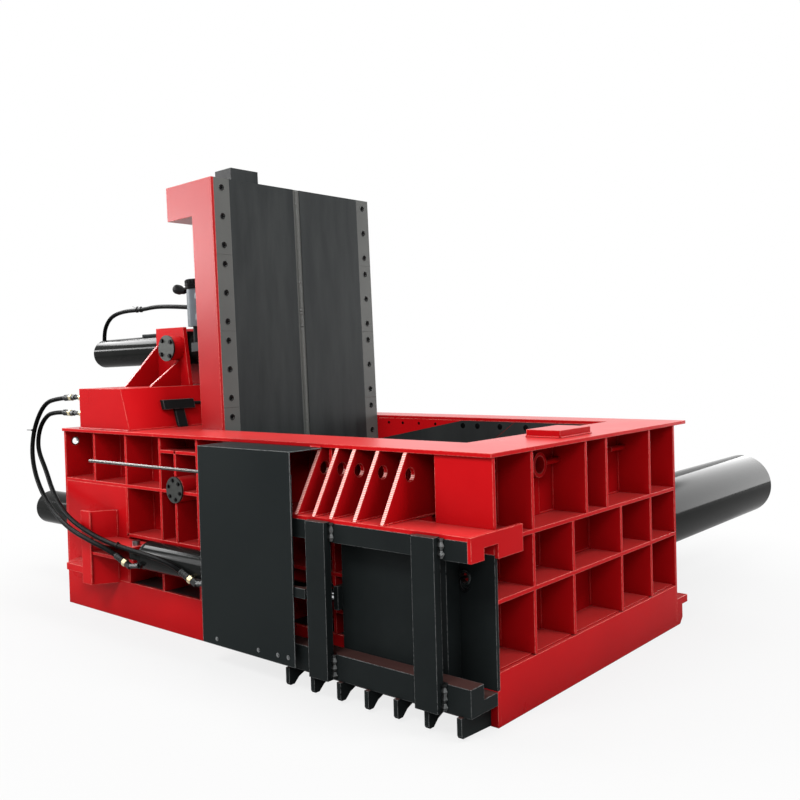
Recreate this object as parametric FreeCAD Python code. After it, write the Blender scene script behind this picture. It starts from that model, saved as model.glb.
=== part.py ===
import FreeCAD, Part
import math
import os

# Hydraulic baler for scrap metal, modelled in millimetres.
# +X runs along the long front face towards the bale door, +Y from the front face to the back,
# +Z up. The origin is on the ground, under the middle of the welded frame.

os.makedirs("parts", exist_ok=True)
V = FreeCAD.Vector

# ---------------------------------------------------------------- driving dimensions

# welded frame
frame_height = 1250.0
press_bay = 1110.0           # room for the side press and the cross beam, left of the lid well
back_wall = 90.0             # chamber to the back of the frame
plate = 20.0                 # ribs, skirts, wall plates and decks
skirt_height = 248.0         # the chamber floor lies at this height
joist_count = 7
rib_depth = 200.0            # how far the ribs stand out of the wall plates
flange_lip = 15.0            # the top flange stands out over the front ribs by this much
flange_side_lip = 5.0
flange_back_lip = 160.0
pad_right = 90.0             # pad that the closed lid's head rests on
pad_length = 205.0
pad_y = 745.0
pad_width = 320.0
pad_thick = 40.0

# press chamber and bale channel
right_wall = 400.0           # right side of the frame to the chamber
front_wall = 350.0
chamber_length = 2000.0
chamber_width = 1500.0
lid_well = 200.0             # room for the raised lid, left of the chamber
channel_offset = 250.0       # right side of the frame to the bale channel
channel_width = 560.0
channel_height = 540.0
ram_gap = 5.0                # sliding gap round the press heads

# rib pattern of the front face and of the right side
front_pitch = 382.0
front_row_low = 565.0
front_row_high = 890.0
side_row_low = 570.0
side_row_high = 844.0
side_ribs_all = (330.0, 1597.0)
side_ribs_top = (850.0, 1073.0)
side_ribs_below = (704.0, 1228.0)
bay_drop = 92.0              # rib of the bearing bay, below the top flange
collar_y = 640.0
collar_drop = 110.0          # lifting collar's centre, below the top flange
collar_radius = 65.0
collar_wall = 20.0
stub_length = 166.0
stub_radius = 16.0
port_ring_y = 75.0           # round hole for wires in the left end plate
port_ring_drop = 77.0
port_ring_radius = 32.0

# bale door (gate) and its guides
gate_length = 665.0
gate_height = 672.0
gate_thick = 99.0
gate_right = 200.0           # right side of the frame to the closed gate
gate_travel = 640.0
face_left = 880.0            # left edge of the black face plate round the bale port
guide_depth = 204.0          # how far the guides stand out of the front face
guide_lip = 98.0
guide_gap = 3.0              # sliding gap round the gate
guide_top = 903.0
guide_bottom = 105.0
guide_web = 60.0
guide_length = 1820.0
bar_width = 132.0
bar_thick = 45.0
bar_positions = (152.0, 840.0)
bracket_pitch = 184.5
bracket_count = 7
bracket_first = 40.0
bracket_thick = 26.0
gusset_positions = (490.0, 668.0, 828.0, 950.0, 1076.0)
gusset_thick = 22.0
gusset_hole_y = 6.0          # round holes in the gussets
gusset_hole_drop = 108.0
gusset_hole_radius = 34.0
low_ledge_z = 372.0
post_width = 334.0
cover_right = 1070.0
cover_out = 5.0              # the cover's left end, past the guides
cover_depth = 252.0
cover_bottom = 127.0
cover_sheet = 5.0

# gate cylinder and travel rod
gate_cyl_radius = 90.0
gate_cyl_bore = 70.0
gate_rod_radius = 36.0
gate_cyl_gap = 215.0         # open gate to the cylinder
gate_cyl_length = 843.0
gate_eye_out = 140.0         # cylinder to its rear eye
gate_eye_radius = 45.0
gate_pin_radius = 25.0
gate_bracket_out = 447.0     # rear eye to the bracket's web
web_slant = 97.0             # the web runs back to the face plate at an angle
web_reach = 150.0            # it stands out of the front face by this much
nose_length = 90.0
gate_cyl_y = -92.0
gate_cyl_z = 490.0
track_radius = 10.0
track_y = -228.0
track_drop = 152.0           # the rod lies this far below the top flange
track_end = 2990.0
track_clamp_out = 127.0      # closed gate to the clamp
track_arm_out = 235.0
track_arm_width = 40.0

# lid
hinge_in = 5.0               # the hinge axis lies this far inside the chamber
hinge_rise = 117.0           # and this far above the channel of the press heads
hinge_radius = 60.0
hub_radius = 95.0
cap_radius = 82.0
cap_thick = 12.0
lid_open_angle = 91.5
lid_end_gap = 5.0
lid_face = 45.0              # the wear face lies this far below the closed hinge axis
lid_back = 170.0             # the back plate lies this far above it
lid_gap = 2.0
blade_width = 128.0
blade_thick = 45.0
blade_count = 4
seat_width = 116.0
blade_margin = 62.5
blade_socket = 17.0          # hexagon socket of a blade bolt, over its corners, as a radius
socket_depth = 22.0
wear_thick = 25.0
centre_strip = 60.0
hook_height = 442.0
hook_length = 229.0
tongue_out = 87.0
tongue_length = 560.0
tongue_width = 233.0
tongue_in = 193.0            # front of the chamber to the tongue
lock_travel = 86.0
lock_back = 950.0            # the lock cylinder's lower end, back from the lid's end
lock_cyl_length = 260.0
lock_cyl_radius = 58.0
lock_cyl_in = 78.0
lock_cyl_w = 275.0
lock_rod_radius = 25.0
lock_cap_length = 52.0
lock_cap_flats = 16
lock_foot_length = 40.0
lock_link_high = 110.0       # the link's two faces, below the lock cylinder's lower end
lock_link_low = 170.0
pull_bar_height = 50.0
pull_bar_width = 80.0
pull_bar_in = 10.0
lug_u = 910.0
lug_w = 275.0
ear_foot = 300.0
ear_top = 104.0
ear_rise = 30.0              # shoulder of the ears over their pin

# lid cylinders
trunnion_behind = 770.0      # hinge axis to the trunnions
trunnion_rise = 270.0        # the trunnions' height over the cross beam
lid_cyl_inset = 400.0        # chamber's front and back to the cylinders
lid_cyl_radius = 112.0
lid_cyl_bore = 85.0
lid_cyl_behind = 1180.0
lid_cyl_ahead = 365.0
lid_rod_radius = 50.0
trunnion_radius = 45.0
cheek_gap = 240.0
cheek_thick = 30.0
boss_radius = 88.0
boss_length = 85.0
cheek_behind = 255.0
cheek_ahead = 75.0
cheek_above = 150.0
eye_radius = 52.0
eye_width = 100.0
eye_neck = 80.0
ear_gap = 116.0
ear_thick = 30.0
pin_radius = 30.0

# cross beam that carries the lid cylinders
beam_end_gap = 169.0         # left end of the frame to the beam
beam_width = 611.0
beam_slope = 95.0
beam_height = 280.0
beam_front = 32.0
tee_rise = 126.0             # foot of the switch bracket's bar, above the frame
tee_height = 64.0
tee_y = 320.0
tee_length = 255.0
tee_thick = 35.0
tee_stem_width = 75.0
tee_stem_thick = 25.0
tee_pin_length = 65.0
tee_pin_radius = 12.0

# press cylinders
side_cyl_inset = 150.0       # chamber's front and back to the side press cylinders
side_radius = 132.0
side_bore = 100.0
side_rod = 60.0
side_cyl_length = 1792.0
side_cyl_gap = 60.0          # press head to the cylinders
side_z = 518.0
side_head = 600.0
side_stroke = 1580.0
main_radius = 245.0
main_bore = 200.0
main_rod = 120.0
main_cyl_length = 2168.0
main_z = 520.0
main_head = 440.0
main_stroke = 1830.0
ram_box_gap = 10.0           # press head to the end of its box
ram_flange_thick = 40.0
piston_thick = 80.0
shaft_clear = 0.1            # running clearance of shafts, rods and pins
piston_clear = 0.5

# hoses
hose_radius = 16.0
hose_sides = 8
ferrule_radius = 20.0
ferrule_length = 75.0
port_front = 45.0            # port plate of the two gate hoses, on the cross beam's left end
port_back = 200.0
port_low = 40.0
port_high = 260.0

# ---------------------------------------------------------------- derived places

chamber_right = right_wall
chamber_left = right_wall + chamber_length
chamber_back = front_wall + chamber_width
well_left = chamber_left + lid_well
frame_length = well_left + press_bay
frame_depth = chamber_back + back_wall
x_right = frame_length / 2
y_front = -frame_depth / 2
mid_y = front_wall + chamber_width / 2
half = plate / 2
floor_z = skirt_height
channel_top = floor_z + channel_height
channel_left = channel_offset + channel_width
flange_under = frame_height - plate
lid_y0 = front_wall + lid_gap
lid_y1 = chamber_back - lid_gap
gate_left = gate_right + gate_length
gate_bottom = floor_z - 80.0
gate_top = gate_bottom + gate_height
gc_front = gate_left + gate_travel + gate_cyl_gap
gate_cyl_rear = gc_front + gate_cyl_length
gate_eye = gate_cyl_rear + gate_eye_out
track_z = flange_under - track_drop

hinge_x = chamber_left - hinge_in
hinge_z = channel_top + hinge_rise
lid_reach = hinge_x - chamber_right - lid_end_gap
tongue_y = front_wall + tongue_in
lock_low = lid_reach - lock_back
lock_cyl_y = front_wall + lock_cyl_in
beam_left = frame_length - beam_end_gap
beam_foot = beam_left - beam_width
beam_shoulder = beam_foot + beam_slope
beam_top = frame_height + beam_height
beam_back = frame_depth + 100.0
trunnion_x = hinge_x + trunnion_behind
trunnion_z = beam_top + trunnion_rise
lid_cyl_ys = (front_wall + lid_cyl_inset, chamber_back - lid_cyl_inset)

side_ys = (front_wall + side_cyl_inset, chamber_back - side_cyl_inset)
side_front = chamber_left + side_head + side_cyl_gap
side_rear = side_front + side_cyl_length
ram_box_back = chamber_back + main_head + ram_box_gap
main_front = ram_box_back + ram_flange_thick
main_rear = main_front + main_cyl_length


# ---------------------------------------------------------------- helpers
# Distances d run left from the frame's right side, distances y run back from its front face.

def X(d):
    return x_right - d


def Y(y):
    return y_front + y


def block(d_left, d_right, y0, y1, z0, z1):
    return Part.makeBox(d_left - d_right, y1 - y0, z1 - z0, V(X(d_left), Y(y0), z0))


def outline(points):
    return Part.Face(Part.makePolygon(points + points[:1]))


def plate_yz(points, d_left, d_right):
    """Flat plate across the machine, its outline given as (y, z) points."""
    face = outline([V(X(d_left), Y(y), z) for y, z in points])
    return face.extrude(V(d_left - d_right, 0, 0))


def plate_xz(points, y0, y1):
    """Flat plate along the machine, its outline given as (d, z) points."""
    face = outline([V(X(d), Y(y0), z) for d, z in points])
    return face.extrude(V(0, y1 - y0, 0))


def round_x(d_left, d_right, y, z, radius):
    return Part.makeCylinder(radius, d_left - d_right, V(X(d_left), Y(y), z), V(1, 0, 0))


def round_y(y0, y1, d, z, radius):
    return Part.makeCylinder(radius, y1 - y0, V(X(d), Y(y0), z), V(0, 1, 0))


def round_z(z0, z1, d, y, radius):
    return Part.makeCylinder(radius, z1 - z0, V(X(d), Y(y), z0), V(0, 0, 1))


def regular(centre, way, radius, sides):
    """Corners of a regular outline round a centre, square to the way."""
    wide = way.cross(V(0, 0, 1))
    if wide.Length < 0.01 * way.Length:
        wide = V(0, 1, 0)
    wide.normalize()
    rise = wide.cross(way)
    rise.normalize()
    corners = []
    for number in range(sides):
        angle = math.tau * number / sides
        corners.append(centre + wide * (radius * math.cos(angle)) + rise * (radius * math.sin(angle)))
    return corners


def prism(a, b, radius, sides):
    return outline(regular(a, b - a, radius, sides)).extrude(b - a)


def joined(shapes):
    shape = shapes[0]
    for other in shapes[1:]:
        shape = shape.fuse(other)
    return shape.removeSplitter()


def save(name, *shapes):
    solids = []
    for shape in shapes:
        solids.extend(shape.Solids)
    body = solids[0] if len(solids) == 1 else Part.makeCompound(solids)
    body.exportStep("parts/" + name + ".step")


# ---------------------------------------------------------------- base and floor

left = frame_length
skirt_front = block(left, 0, 0, plate, 0, floor_z)
skirt_front = skirt_front.cut(block(face_left, 0, 0, plate, gate_bottom, floor_z))
skirt_back = block(left, 0, frame_depth - plate, frame_depth, 0, floor_z)
skirt_left = block(left, left - plate, plate, frame_depth - plate, 0, floor_z)
skirt_right = block(plate, 0, plate, frame_depth - plate, 0, floor_z)

joist_pitch = (frame_length - 2 * plate) / (joist_count + 1)
joists = []
for number in range(joist_count):
    d = plate + joist_pitch * (number + 1)
    joists.append(block(d + plate / 2, d - plate / 2, plate, frame_depth - plate, 0, floor_z - plate))

save("chamber_floor", block(left - plate, plate, plate, frame_depth - plate, floor_z - plate, floor_z))

rail = [(frame_depth, 0), (frame_depth + 35, 0), (frame_depth + 72, 36), (frame_depth + 72, 116),
        (frame_depth + 148, 116), (frame_depth + 148, 160), (frame_depth, 160)]
save("base_frame", skirt_front, skirt_back, skirt_left, skirt_right, plate_yz(rail, left, 0), *joists)

# ---------------------------------------------------------------- front wall

outer_y = rib_depth + plate
port = block(channel_left, channel_offset, -1, frame_depth + 1, floor_z - 1, channel_top)
hinge_hole = round_y(0, frame_depth, hinge_x, hinge_z, cap_radius)

front_outer = block(left - plate, right_wall, rib_depth, outer_y, floor_z, flange_under)
front_outer = front_outer.fuse(block(right_wall, outer_y, rib_depth, outer_y, floor_z, flange_under))
front_outer = front_outer.removeSplitter().cut(port).cut(hinge_hole)

front_inner = block(left - plate, channel_offset, front_wall - plate, front_wall, floor_z, flange_under)
save("front_wall_plates", front_outer, front_inner.cut(port).cut(hinge_hole))

# rib grid: vertical ribs run between the shelves
rib_ds = [left - 10 - front_pitch * k for k in range(1, 8)]
plain_right = rib_ds[1] + plate / 2
ribs = []
for number, d in enumerate(rib_ds):
    rows = [(front_row_high + half, flange_under)]
    if number > 0:
        rows.append((front_row_low + half, front_row_high - half))
        rows.append((floor_z, front_row_low - half))
    for z0, z1 in rows:
        ribs.append(block(d + half, d - half, 0, rib_depth, z0, z1))
rib_last = rib_ds[-1] - half
ribs.append(block(left - plate, rib_last, 0, rib_depth, front_row_high - half, front_row_high + half))
ribs.append(block(plain_right - plate, face_left, 0, rib_depth, front_row_low - half, front_row_low + half))
ribs.append(block(rib_last, face_left, 0, rib_depth, low_ledge_z - half, low_ledge_z + half))

# the bearing bay has one rib more each way, stopped short of the bearing
bay_left = rib_ds[2] - half
bay_right = rib_ds[3] + half
bay_z = flange_under - bay_drop
housing = round_y(-1, rib_depth + 1, hinge_x, hinge_z, cap_radius)
bay = [block(bay_left, hinge_x + half, 0, rib_depth, bay_z - half, bay_z + half),
       block(hinge_x - half, bay_right, 0, rib_depth, bay_z - half, bay_z + half),
       block(hinge_x + half, hinge_x - half, 0, rib_depth, front_row_high + half, bay_z - half),
       block(hinge_x + half, hinge_x - half, 0, rib_depth, front_row_low + half, front_row_high - half)]
ribs = [rib.cut(housing) for rib in ribs + bay]
save("front_ribs", *ribs)

plain_cover = block(left - plate, plain_right, 0, plate, floor_z, front_row_high - half)
post_plate = block(post_width, 0, 0, plate, guide_top, flange_under)

# black face plate round the bale port, with the lifting eye at its right
eye_d = 166.0
eye_z = 667.0
port_face = block(face_left, 0, 0, plate, gate_bottom, channel_top)
port_cut = block(channel_left, channel_offset, -1, plate + 1, floor_z, channel_top + 1)
port_face = port_face.cut(port_cut).cut(round_y(-1, plate + 1, eye_d, eye_z, 23))
save("port_face_plate", port_face)

sleeve = block(channel_left + plate, channel_offset - plate, plate, front_wall - plate, floor_z,
               channel_top + plate)
sleeve = sleeve.cut(block(channel_left, channel_offset, 0, front_wall, floor_z, channel_top))
sleeve = sleeve.cut(block(left, 0, rib_depth, outer_y, floor_z, channel_top + 2 * plate))
back_sleeve = block(channel_left + plate, channel_offset - plate, chamber_back + plate, frame_depth - plate,
                    floor_z, channel_top + plate)
back_sleeve = back_sleeve.cut(block(channel_left, channel_offset, chamber_back, frame_depth, floor_z,
                                    channel_top))
save("port_sleeves", sleeve, back_sleeve)

# ---------------------------------------------------------------- right wall

side_outer = block(rib_depth + plate, rib_depth, plate, frame_depth - plate, floor_z, flange_under)

side_ribs = []
inner_back = frame_depth - plate
side_ribs.append(block(rib_depth, 0, plate, inner_back, side_row_low - half, side_row_low + half))
side_ribs.append(block(rib_depth, 0, plate, inner_back, side_row_high - half, side_row_high + half))
side_ribs.append(block(rib_depth, plate, plate, inner_back, floor_z, floor_z + 6))
for y in side_ribs_all + side_ribs_top:
    side_ribs.append(block(rib_depth, 0, y - half, y + half, side_row_high + half, flange_under))
for y in side_ribs_all + side_ribs_below:
    side_ribs.append(block(rib_depth, 0, y - half, y + half, side_row_low + half, side_row_high - half))
    side_ribs.append(block(rib_depth, 0, y - half, y + half, floor_z + 6, side_row_low - half))
side_ribs.append(block(rib_depth, 0, inner_back, frame_depth, floor_z, flange_under))
save("side_ribs", *side_ribs)

# lifting collar with its through hole, and two pipe stubs
collar_z = flange_under - collar_drop
collar = round_x(rib_depth, rib_depth - 50, collar_y, collar_z, collar_radius)
collar = collar.cut(round_x(rib_depth + 1, rib_depth - 51, collar_y, collar_z, collar_radius - collar_wall))
strip = block(rib_depth, rib_depth - 10, collar_y, collar_y + 50, side_row_high + half,
              collar_z - collar_radius - 5)
stub_a = round_y(collar_y + collar_radius + 1, side_ribs_top[0] - half, 165, collar_z + 5, stub_radius)
stub_b = round_y(side_ribs_all[1] - half - stub_length, side_ribs_all[1] - half, 165, collar_z + 5,
                 stub_radius)
save("wall_pipes", collar, strip, stub_a, stub_b)

channel_wall = block(channel_offset, channel_offset - plate, front_wall, chamber_back, floor_z, channel_top)
channel_roof = block(chamber_right, channel_offset - plate, front_wall, chamber_back, channel_top,
                     channel_top + plate)
slot = block(chamber_right + 1, chamber_right - plate - 1, tongue_y - 8, tongue_y + tongue_width + 8,
             hinge_z - 30, hinge_z + 160)
upper_wall = block(chamber_right, chamber_right - plate, front_wall, chamber_back, channel_top + plate,
                   flange_under)
save("right_wall_plates", side_outer, channel_wall, channel_roof, upper_wall.cut(slot))

# ---------------------------------------------------------------- back wall, left end, lid well

back_inner = block(left - plate, channel_offset, chamber_back, chamber_back + plate, floor_z, flange_under)
back_outer = block(left - plate, rib_depth, inner_back, frame_depth, floor_z, flange_under)
back_ribs = []
for number in range(1, 9):
    d = left - 10 - front_pitch * number
    if d > channel_left + plate:
        back_ribs.append(block(d + half, d - half, frame_depth, frame_depth + 150, 160, flange_under))
save("back_wall_plates", back_inner.cut(port).cut(hinge_hole), back_outer.cut(port), *back_ribs)

end_plate = block(left, left - plate, 0, frame_depth, floor_z, flange_under)
end_plate = end_plate.cut(round_x(left + 1, left - plate - 1, port_ring_y, flange_under - port_ring_drop,
                                  port_ring_radius))
mount_plate = block(side_front + 3 * plate, side_front + plate, front_wall, chamber_back, floor_z,
                    channel_top)
for y in side_ys:
    hole = round_x(left + 1, side_front - 1, y, side_z, side_radius)
    end_plate = end_plate.cut(hole)
    mount_plate = mount_plate.cut(hole)
roof = block(left - plate, hinge_x + hub_radius + 30, front_wall, chamber_back, channel_top,
             channel_top + plate)
well_wall = block(well_left + plate, well_left, front_wall, chamber_back, channel_top + plate, flange_under)
save("left_end_plates", end_plate, mount_plate, roof, well_wall)

# ---------------------------------------------------------------- top flange round the opening

y_lip = -flange_lip
y_end = frame_depth + flange_back_lip
save("flange_front", block(well_left, -flange_side_lip, y_lip, front_wall, flange_under, frame_height))
rest_pad = block(pad_right + pad_length, pad_right, pad_y, pad_y + pad_width, frame_height,
                 frame_height + pad_thick)
save("flange_right", block(chamber_right, -flange_side_lip, front_wall, y_end, flange_under, frame_height),
     rest_pad)
save("flange_back", block(well_left, chamber_right, chamber_back, y_end, flange_under, frame_height))
save("deck_left", block(left, well_left, y_lip, y_end, flange_under, frame_height))

# ---------------------------------------------------------------- bale door guides

guide_inner = guide_depth - guide_lip
upper_z = gate_top + guide_gap
lip_back = -guide_inner
shelf = block(guide_length, 0, -guide_depth, 0, guide_top - plate, guide_top)
upper = [(-guide_depth, channel_top), (lip_back, channel_top), (lip_back, upper_z), (0, upper_z),
         (0, guide_top - plate), (-guide_depth, guide_top - plate)]
backing = block(guide_length, 0, 0, plate, channel_top, guide_top)
backing = backing.cut(block(guide_length, face_left, 0, plate, front_row_high - half, guide_top))
for d in rib_ds:
    backing = backing.cut(block(d + half, d - half, 0, plate, channel_top, guide_top))
save("front_face_plates", plain_cover, post_plate, backing)

end_profile = [(-guide_depth, channel_top), (lip_back, channel_top), (lip_back, upper_z), (2, upper_z),
               (2, channel_top - 14), (206, channel_top - 14), (206, guide_top), (-guide_depth, guide_top)]
save("upper_guide_shelf", shelf, plate_yz(end_profile, 0, -plate))

ledge_z = gate_bottom - guide_gap
lower = [(-guide_depth, guide_bottom), (0, guide_bottom), (0, ledge_z), (lip_back, ledge_z),
         (lip_back, floor_z - 14), (-guide_depth, floor_z - 14)]
save("gate_guides", plate_yz(upper, guide_length, 0), plate_yz(lower, guide_length, 0))

bars = []
for d in bar_positions:
    bars.append(block(d + bar_width, d, -guide_depth - bar_thick, -guide_depth, guide_bottom, guide_top - 12))
save("guide_bars", *bars)

brackets = []
for number in range(bracket_count):
    d = bracket_first + bracket_pitch * number
    profile = [(-guide_depth - 20, guide_bottom), (0, guide_bottom), (0, 62), (-110, 62), (-155, 44),
               (-188, 14),
               (-guide_depth - 12, 14), (-guide_depth - 20, 26)]
    if number == 0:
        profile = [(-guide_depth - 20, guide_bottom), (0, guide_bottom), (0, 4), (-guide_depth - 12, 14),
                   (-guide_depth - 20, 26)]
    brackets.append(plate_yz(profile, d + bracket_thick, d))
save("guide_brackets", *brackets)

gusset = [(-guide_depth + 4, guide_top), (rib_depth, guide_top), (rib_depth, flange_under),
          (-flange_lip, flange_under)]
gussets = []
for d in gusset_positions:
    web = plate_yz(gusset, d + gusset_thick, d)
    hole = round_x(d + gusset_thick + 1, d - 1, gusset_hole_y, flange_under - gusset_hole_drop,
                   gusset_hole_radius)
    gussets.append(web.cut(hole))
save("guide_gussets", *gussets)

# ---------------------------------------------------------------- cover over the open gate

cover_left = guide_length + cover_out
cover_top = flange_under - 0.3
s = cover_sheet
cover = block(cover_left, cover_right, -cover_depth, 0, cover_bottom, cover_top)
cover = cover.cut(block(cover_left - s, cover_right - 1, -cover_depth + s, 1, cover_bottom - 1,
                        cover_top - s))
window = block(cover_left + 1, cover_left - s - 1, -cover_depth + 30, 1, gate_cyl_z - 110, gate_cyl_z + 110)
guides = block(cover_left + 1, cover_left - s - 1, -guide_depth - 3, 1, cover_bottom - 1, floor_z)
track_slot = block(cover_left + 1, cover_left - s - 1, track_y - 14, track_y + 14, track_z - 14, track_z + 14)
gusset_notch = block(gusset_positions[-1] + gusset_thick + 2, gusset_positions[-1] - 2, -30, 1,
                     cover_bottom, cover_top + 1)
save("gate_cover", cover.cut(window).cut(guides).cut(track_slot).cut(gusset_notch))

# ---------------------------------------------------------------- gate

gate_y0 = lip_back + guide_gap
gate = block(gate_left, gate_right, gate_y0, gate_y0 + gate_thick, gate_bottom, gate_top)
lug = block(gate_left + 30, gate_left, gate_cyl_y - 45, gate_cyl_y + 45, gate_cyl_z - 60, gate_cyl_z + 60)
save("gate_plate", gate, lug)

barrel = round_x(gate_cyl_rear, gc_front, gate_cyl_y, gate_cyl_z, gate_cyl_radius)
barrel = barrel.cut(round_x(gate_cyl_rear - 50, gc_front + 50, gate_cyl_y, gate_cyl_z, gate_cyl_bore))
barrel = barrel.cut(round_x(gate_cyl_rear - 60, gc_front - 1, gate_cyl_y, gate_cyl_z,
                            gate_rod_radius + shaft_clear))
piston_left = gate_cyl_rear - 60 - gate_travel
piston = round_x(piston_left, piston_left - 60, gate_cyl_y, gate_cyl_z, gate_cyl_bore - piston_clear)
rod = round_x(piston_left, gate_left + 30, gate_cyl_y, gate_cyl_z, gate_rod_radius)
save("gate_rod", rod.fuse(piston).removeSplitter())

eye = block(gate_eye, gate_cyl_rear, gate_cyl_y - gate_eye_radius, gate_cyl_y + gate_eye_radius,
            gate_cyl_z - 30, gate_cyl_z + 30)
eye = eye.fuse(round_z(gate_cyl_z - 30, gate_cyl_z + 30, gate_eye, gate_cyl_y,
                       gate_eye_radius)).removeSplitter()
eye = eye.cut(round_z(gate_cyl_z - 31, gate_cyl_z + 31, gate_eye, gate_cyl_y, gate_pin_radius))
save("gate_cylinder", barrel, eye)
save("gate_cylinder_pin", round_z(gate_cyl_z - 80, gate_cyl_z + 80, gate_eye, gate_cyl_y, gate_pin_radius))

# track rod that shows how far the gate is open, on an arm clamped to the gate's rod
clamp_d = gate_left + track_clamp_out
arm_d = gate_left + track_arm_out
arm_front = track_y - 15
clamp = block(clamp_d + track_arm_width, clamp_d, arm_front, gate_cyl_y, gate_cyl_z, gate_cyl_z + 50)
clamp = clamp.fuse(round_x(clamp_d + track_arm_width, clamp_d, gate_cyl_y, gate_cyl_z, 60))
clamp = clamp.fuse(block(arm_d + track_arm_width, clamp_d, arm_front, track_y + 15, gate_cyl_z,
                         gate_cyl_z + 50))
upright = block(arm_d + track_arm_width, arm_d, arm_front, track_y + 15, gate_cyl_z, track_z + 30)
clamp = clamp.fuse(upright).removeSplitter()
clamp = clamp.cut(round_x(clamp_d + track_arm_width + 1, clamp_d - 1, gate_cyl_y, gate_cyl_z,
                          gate_rod_radius))
save("track_arm", clamp.cut(round_x(arm_d + track_arm_width + 1, arm_d - 1, track_y, track_z, track_radius)))
save("track_rod", round_x(track_end, arm_d, track_y, track_z, track_radius))

# bracket that holds the rear eye of the gate cylinder
bracket_d = gate_eye + gate_bracket_out
bracket_top = gate_cyl_z + 232
web_left = bracket_d + plate
web_low = floor_z - 15
nose_slant = web_slant * plate / web_reach
ear_end = gate_eye - gate_eye_radius - 5


def plate_xy(points, z0, z1):
    """Level plate, its outline given as (d, y) points."""
    return outline([V(X(d), Y(y), z0) for d, y in points]).extrude(V(0, 0, z1 - z0))


web = plate_xy([(web_left, -web_reach), (bracket_d, -web_reach), (bracket_d - web_slant, 0),
                (web_left - web_slant, 0)],
               web_low, bracket_top)
nose = plate_xy([(web_left + nose_length, -web_reach), (web_left, -web_reach),
                 (web_left - nose_slant, plate - web_reach), (web_left + nose_length, plate - web_reach)],
                web_low, bracket_top)
clevis = []
for z in (gate_cyl_z + 31, gate_cyl_z - 31 - plate):
    ear = plate_xy([(bracket_d, -web_reach), (ear_end, -web_reach), (ear_end, 0),
                    (bracket_d - web_slant, 0)], z, z + plate)
    clevis.append(ear.cut(round_z(z - 1, z + plate + 1, gate_eye, gate_cyl_y, gate_pin_radius)))
foot_right = web_left + nose_length
foot = plate_xy([(foot_right + 204, -web_reach), (foot_right, -web_reach), (foot_right, 0),
                 (foot_right + 310, 0)],
                floor_z + 49, floor_z + 95)
save("gate_cylinder_bracket", web, nose, foot, *clevis)

# ---------------------------------------------------------------- cross beam and lid cylinder brackets

beam = plate_xz([(beam_left, frame_height), (beam_foot, frame_height), (beam_shoulder, beam_top),
                 (beam_left, beam_top)], beam_front, beam_back)
hollow = plate_xz([(beam_left - plate, frame_height + 8), (beam_foot + 28, frame_height + 8),
                   (beam_shoulder + 14, beam_top - plate), (beam_left - plate, beam_top - plate)],
                  beam_front + plate, beam_back - plate)
save("cross_beam", beam.cut(hollow))

cheeks = []
bosses = []
buttresses = []
caps = []
cheek_top = trunnion_z + cheek_above
cheek_left = trunnion_x + cheek_behind
cheek_shape = [(cheek_left, beam_top), (beam_shoulder + 6, beam_top), (trunnion_x - cheek_ahead, cheek_top),
               (cheek_left, cheek_top)]
for y in lid_cyl_ys:
    outward = -1 if y < mid_y else 1
    for side in (-1, 1):
        a = y + side * cheek_gap / 2
        b = a + side * cheek_thick
        cheek = plate_xz(cheek_shape, min(a, b), max(a, b))
        cheek = cheek.cut(round_y(0, frame_depth, trunnion_x, trunnion_z, trunnion_radius + shaft_clear))
        cheeks.append(cheek)
    a = y + outward * (cheek_gap / 2 + cheek_thick)
    b = a + outward * boss_length
    boss = round_y(min(a, b), max(a, b), trunnion_x, trunnion_z, boss_radius)
    bosses.append(boss.cut(round_y(0, frame_depth, trunnion_x, trunnion_z, trunnion_radius + shaft_clear)))
    c = b + outward * cap_thick
    caps.append(round_y(min(b, c), max(b, c), trunnion_x, trunnion_z, boss_radius + 5))
    for d, top_z, reach in ((cheek_left - plate, trunnion_z + 20, 285.0),
                            (trunnion_x - 35.0, trunnion_z - boss_radius, 255.0)):
        rib = plate_yz([(a, beam_top), (a + outward * reach, beam_top),
                        (a + outward * (reach - 12), beam_top + 14),
                        (a + outward * 4, top_z), (a, top_z)], d + plate, d)
        buttresses.append(rib)
save("trunnion_brackets", *(cheeks + buttresses))

# end caps of the lid hinge and bearing housings
hinge_caps = [round_y(-cap_thick, 0, hinge_x, hinge_z, cap_radius)]
save("bearing_caps", *(caps + hinge_caps))
front_housing = round_y(0, front_wall, hinge_x, hinge_z, cap_radius)
back_housing = round_y(chamber_back, frame_depth - plate, hinge_x, hinge_z, cap_radius)
bore = round_y(-1, frame_depth - plate - 10, hinge_x, hinge_z, hinge_radius + shaft_clear)
save("bearing_housings", front_housing.cut(bore), back_housing.cut(bore), *bosses)

# T-shaped switch bracket on the slope of the cross beam
slope = (beam_shoulder - beam_foot) / beam_height


def slope_d(z):
    return beam_foot + slope * (z - frame_height)


tee_z0 = frame_height + tee_rise
tee_z1 = tee_z0 + tee_height
tee_end = tee_y + tee_length
tee_pin_z = tee_z0 + tee_height / 2
tee_middle = (tee_y + tee_end) / 2
tee_d0 = slope_d(tee_z0)
tee_d1 = slope_d(tee_z1)
tee_bar = plate_xz([(tee_d0, tee_z0), (tee_d0 - tee_thick, tee_z0), (tee_d1 - tee_thick, tee_z1),
                    (tee_d1, tee_z1)],
                   tee_y, tee_end)
tee_stem = plate_xz([(beam_foot, frame_height), (beam_foot - tee_stem_thick, frame_height),
                     (tee_d0 - tee_stem_thick, tee_z0), (tee_d0, tee_z0)],
                    tee_middle - tee_stem_width / 2, tee_middle + tee_stem_width / 2)
tee_pin = round_y(tee_end, tee_end + tee_pin_length, slope_d(tee_pin_z) - tee_thick / 2, tee_pin_z,
                  tee_pin_radius)
save("lid_switch_bracket", tee_bar.fuse(tee_stem).fuse(tee_pin).removeSplitter())

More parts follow.
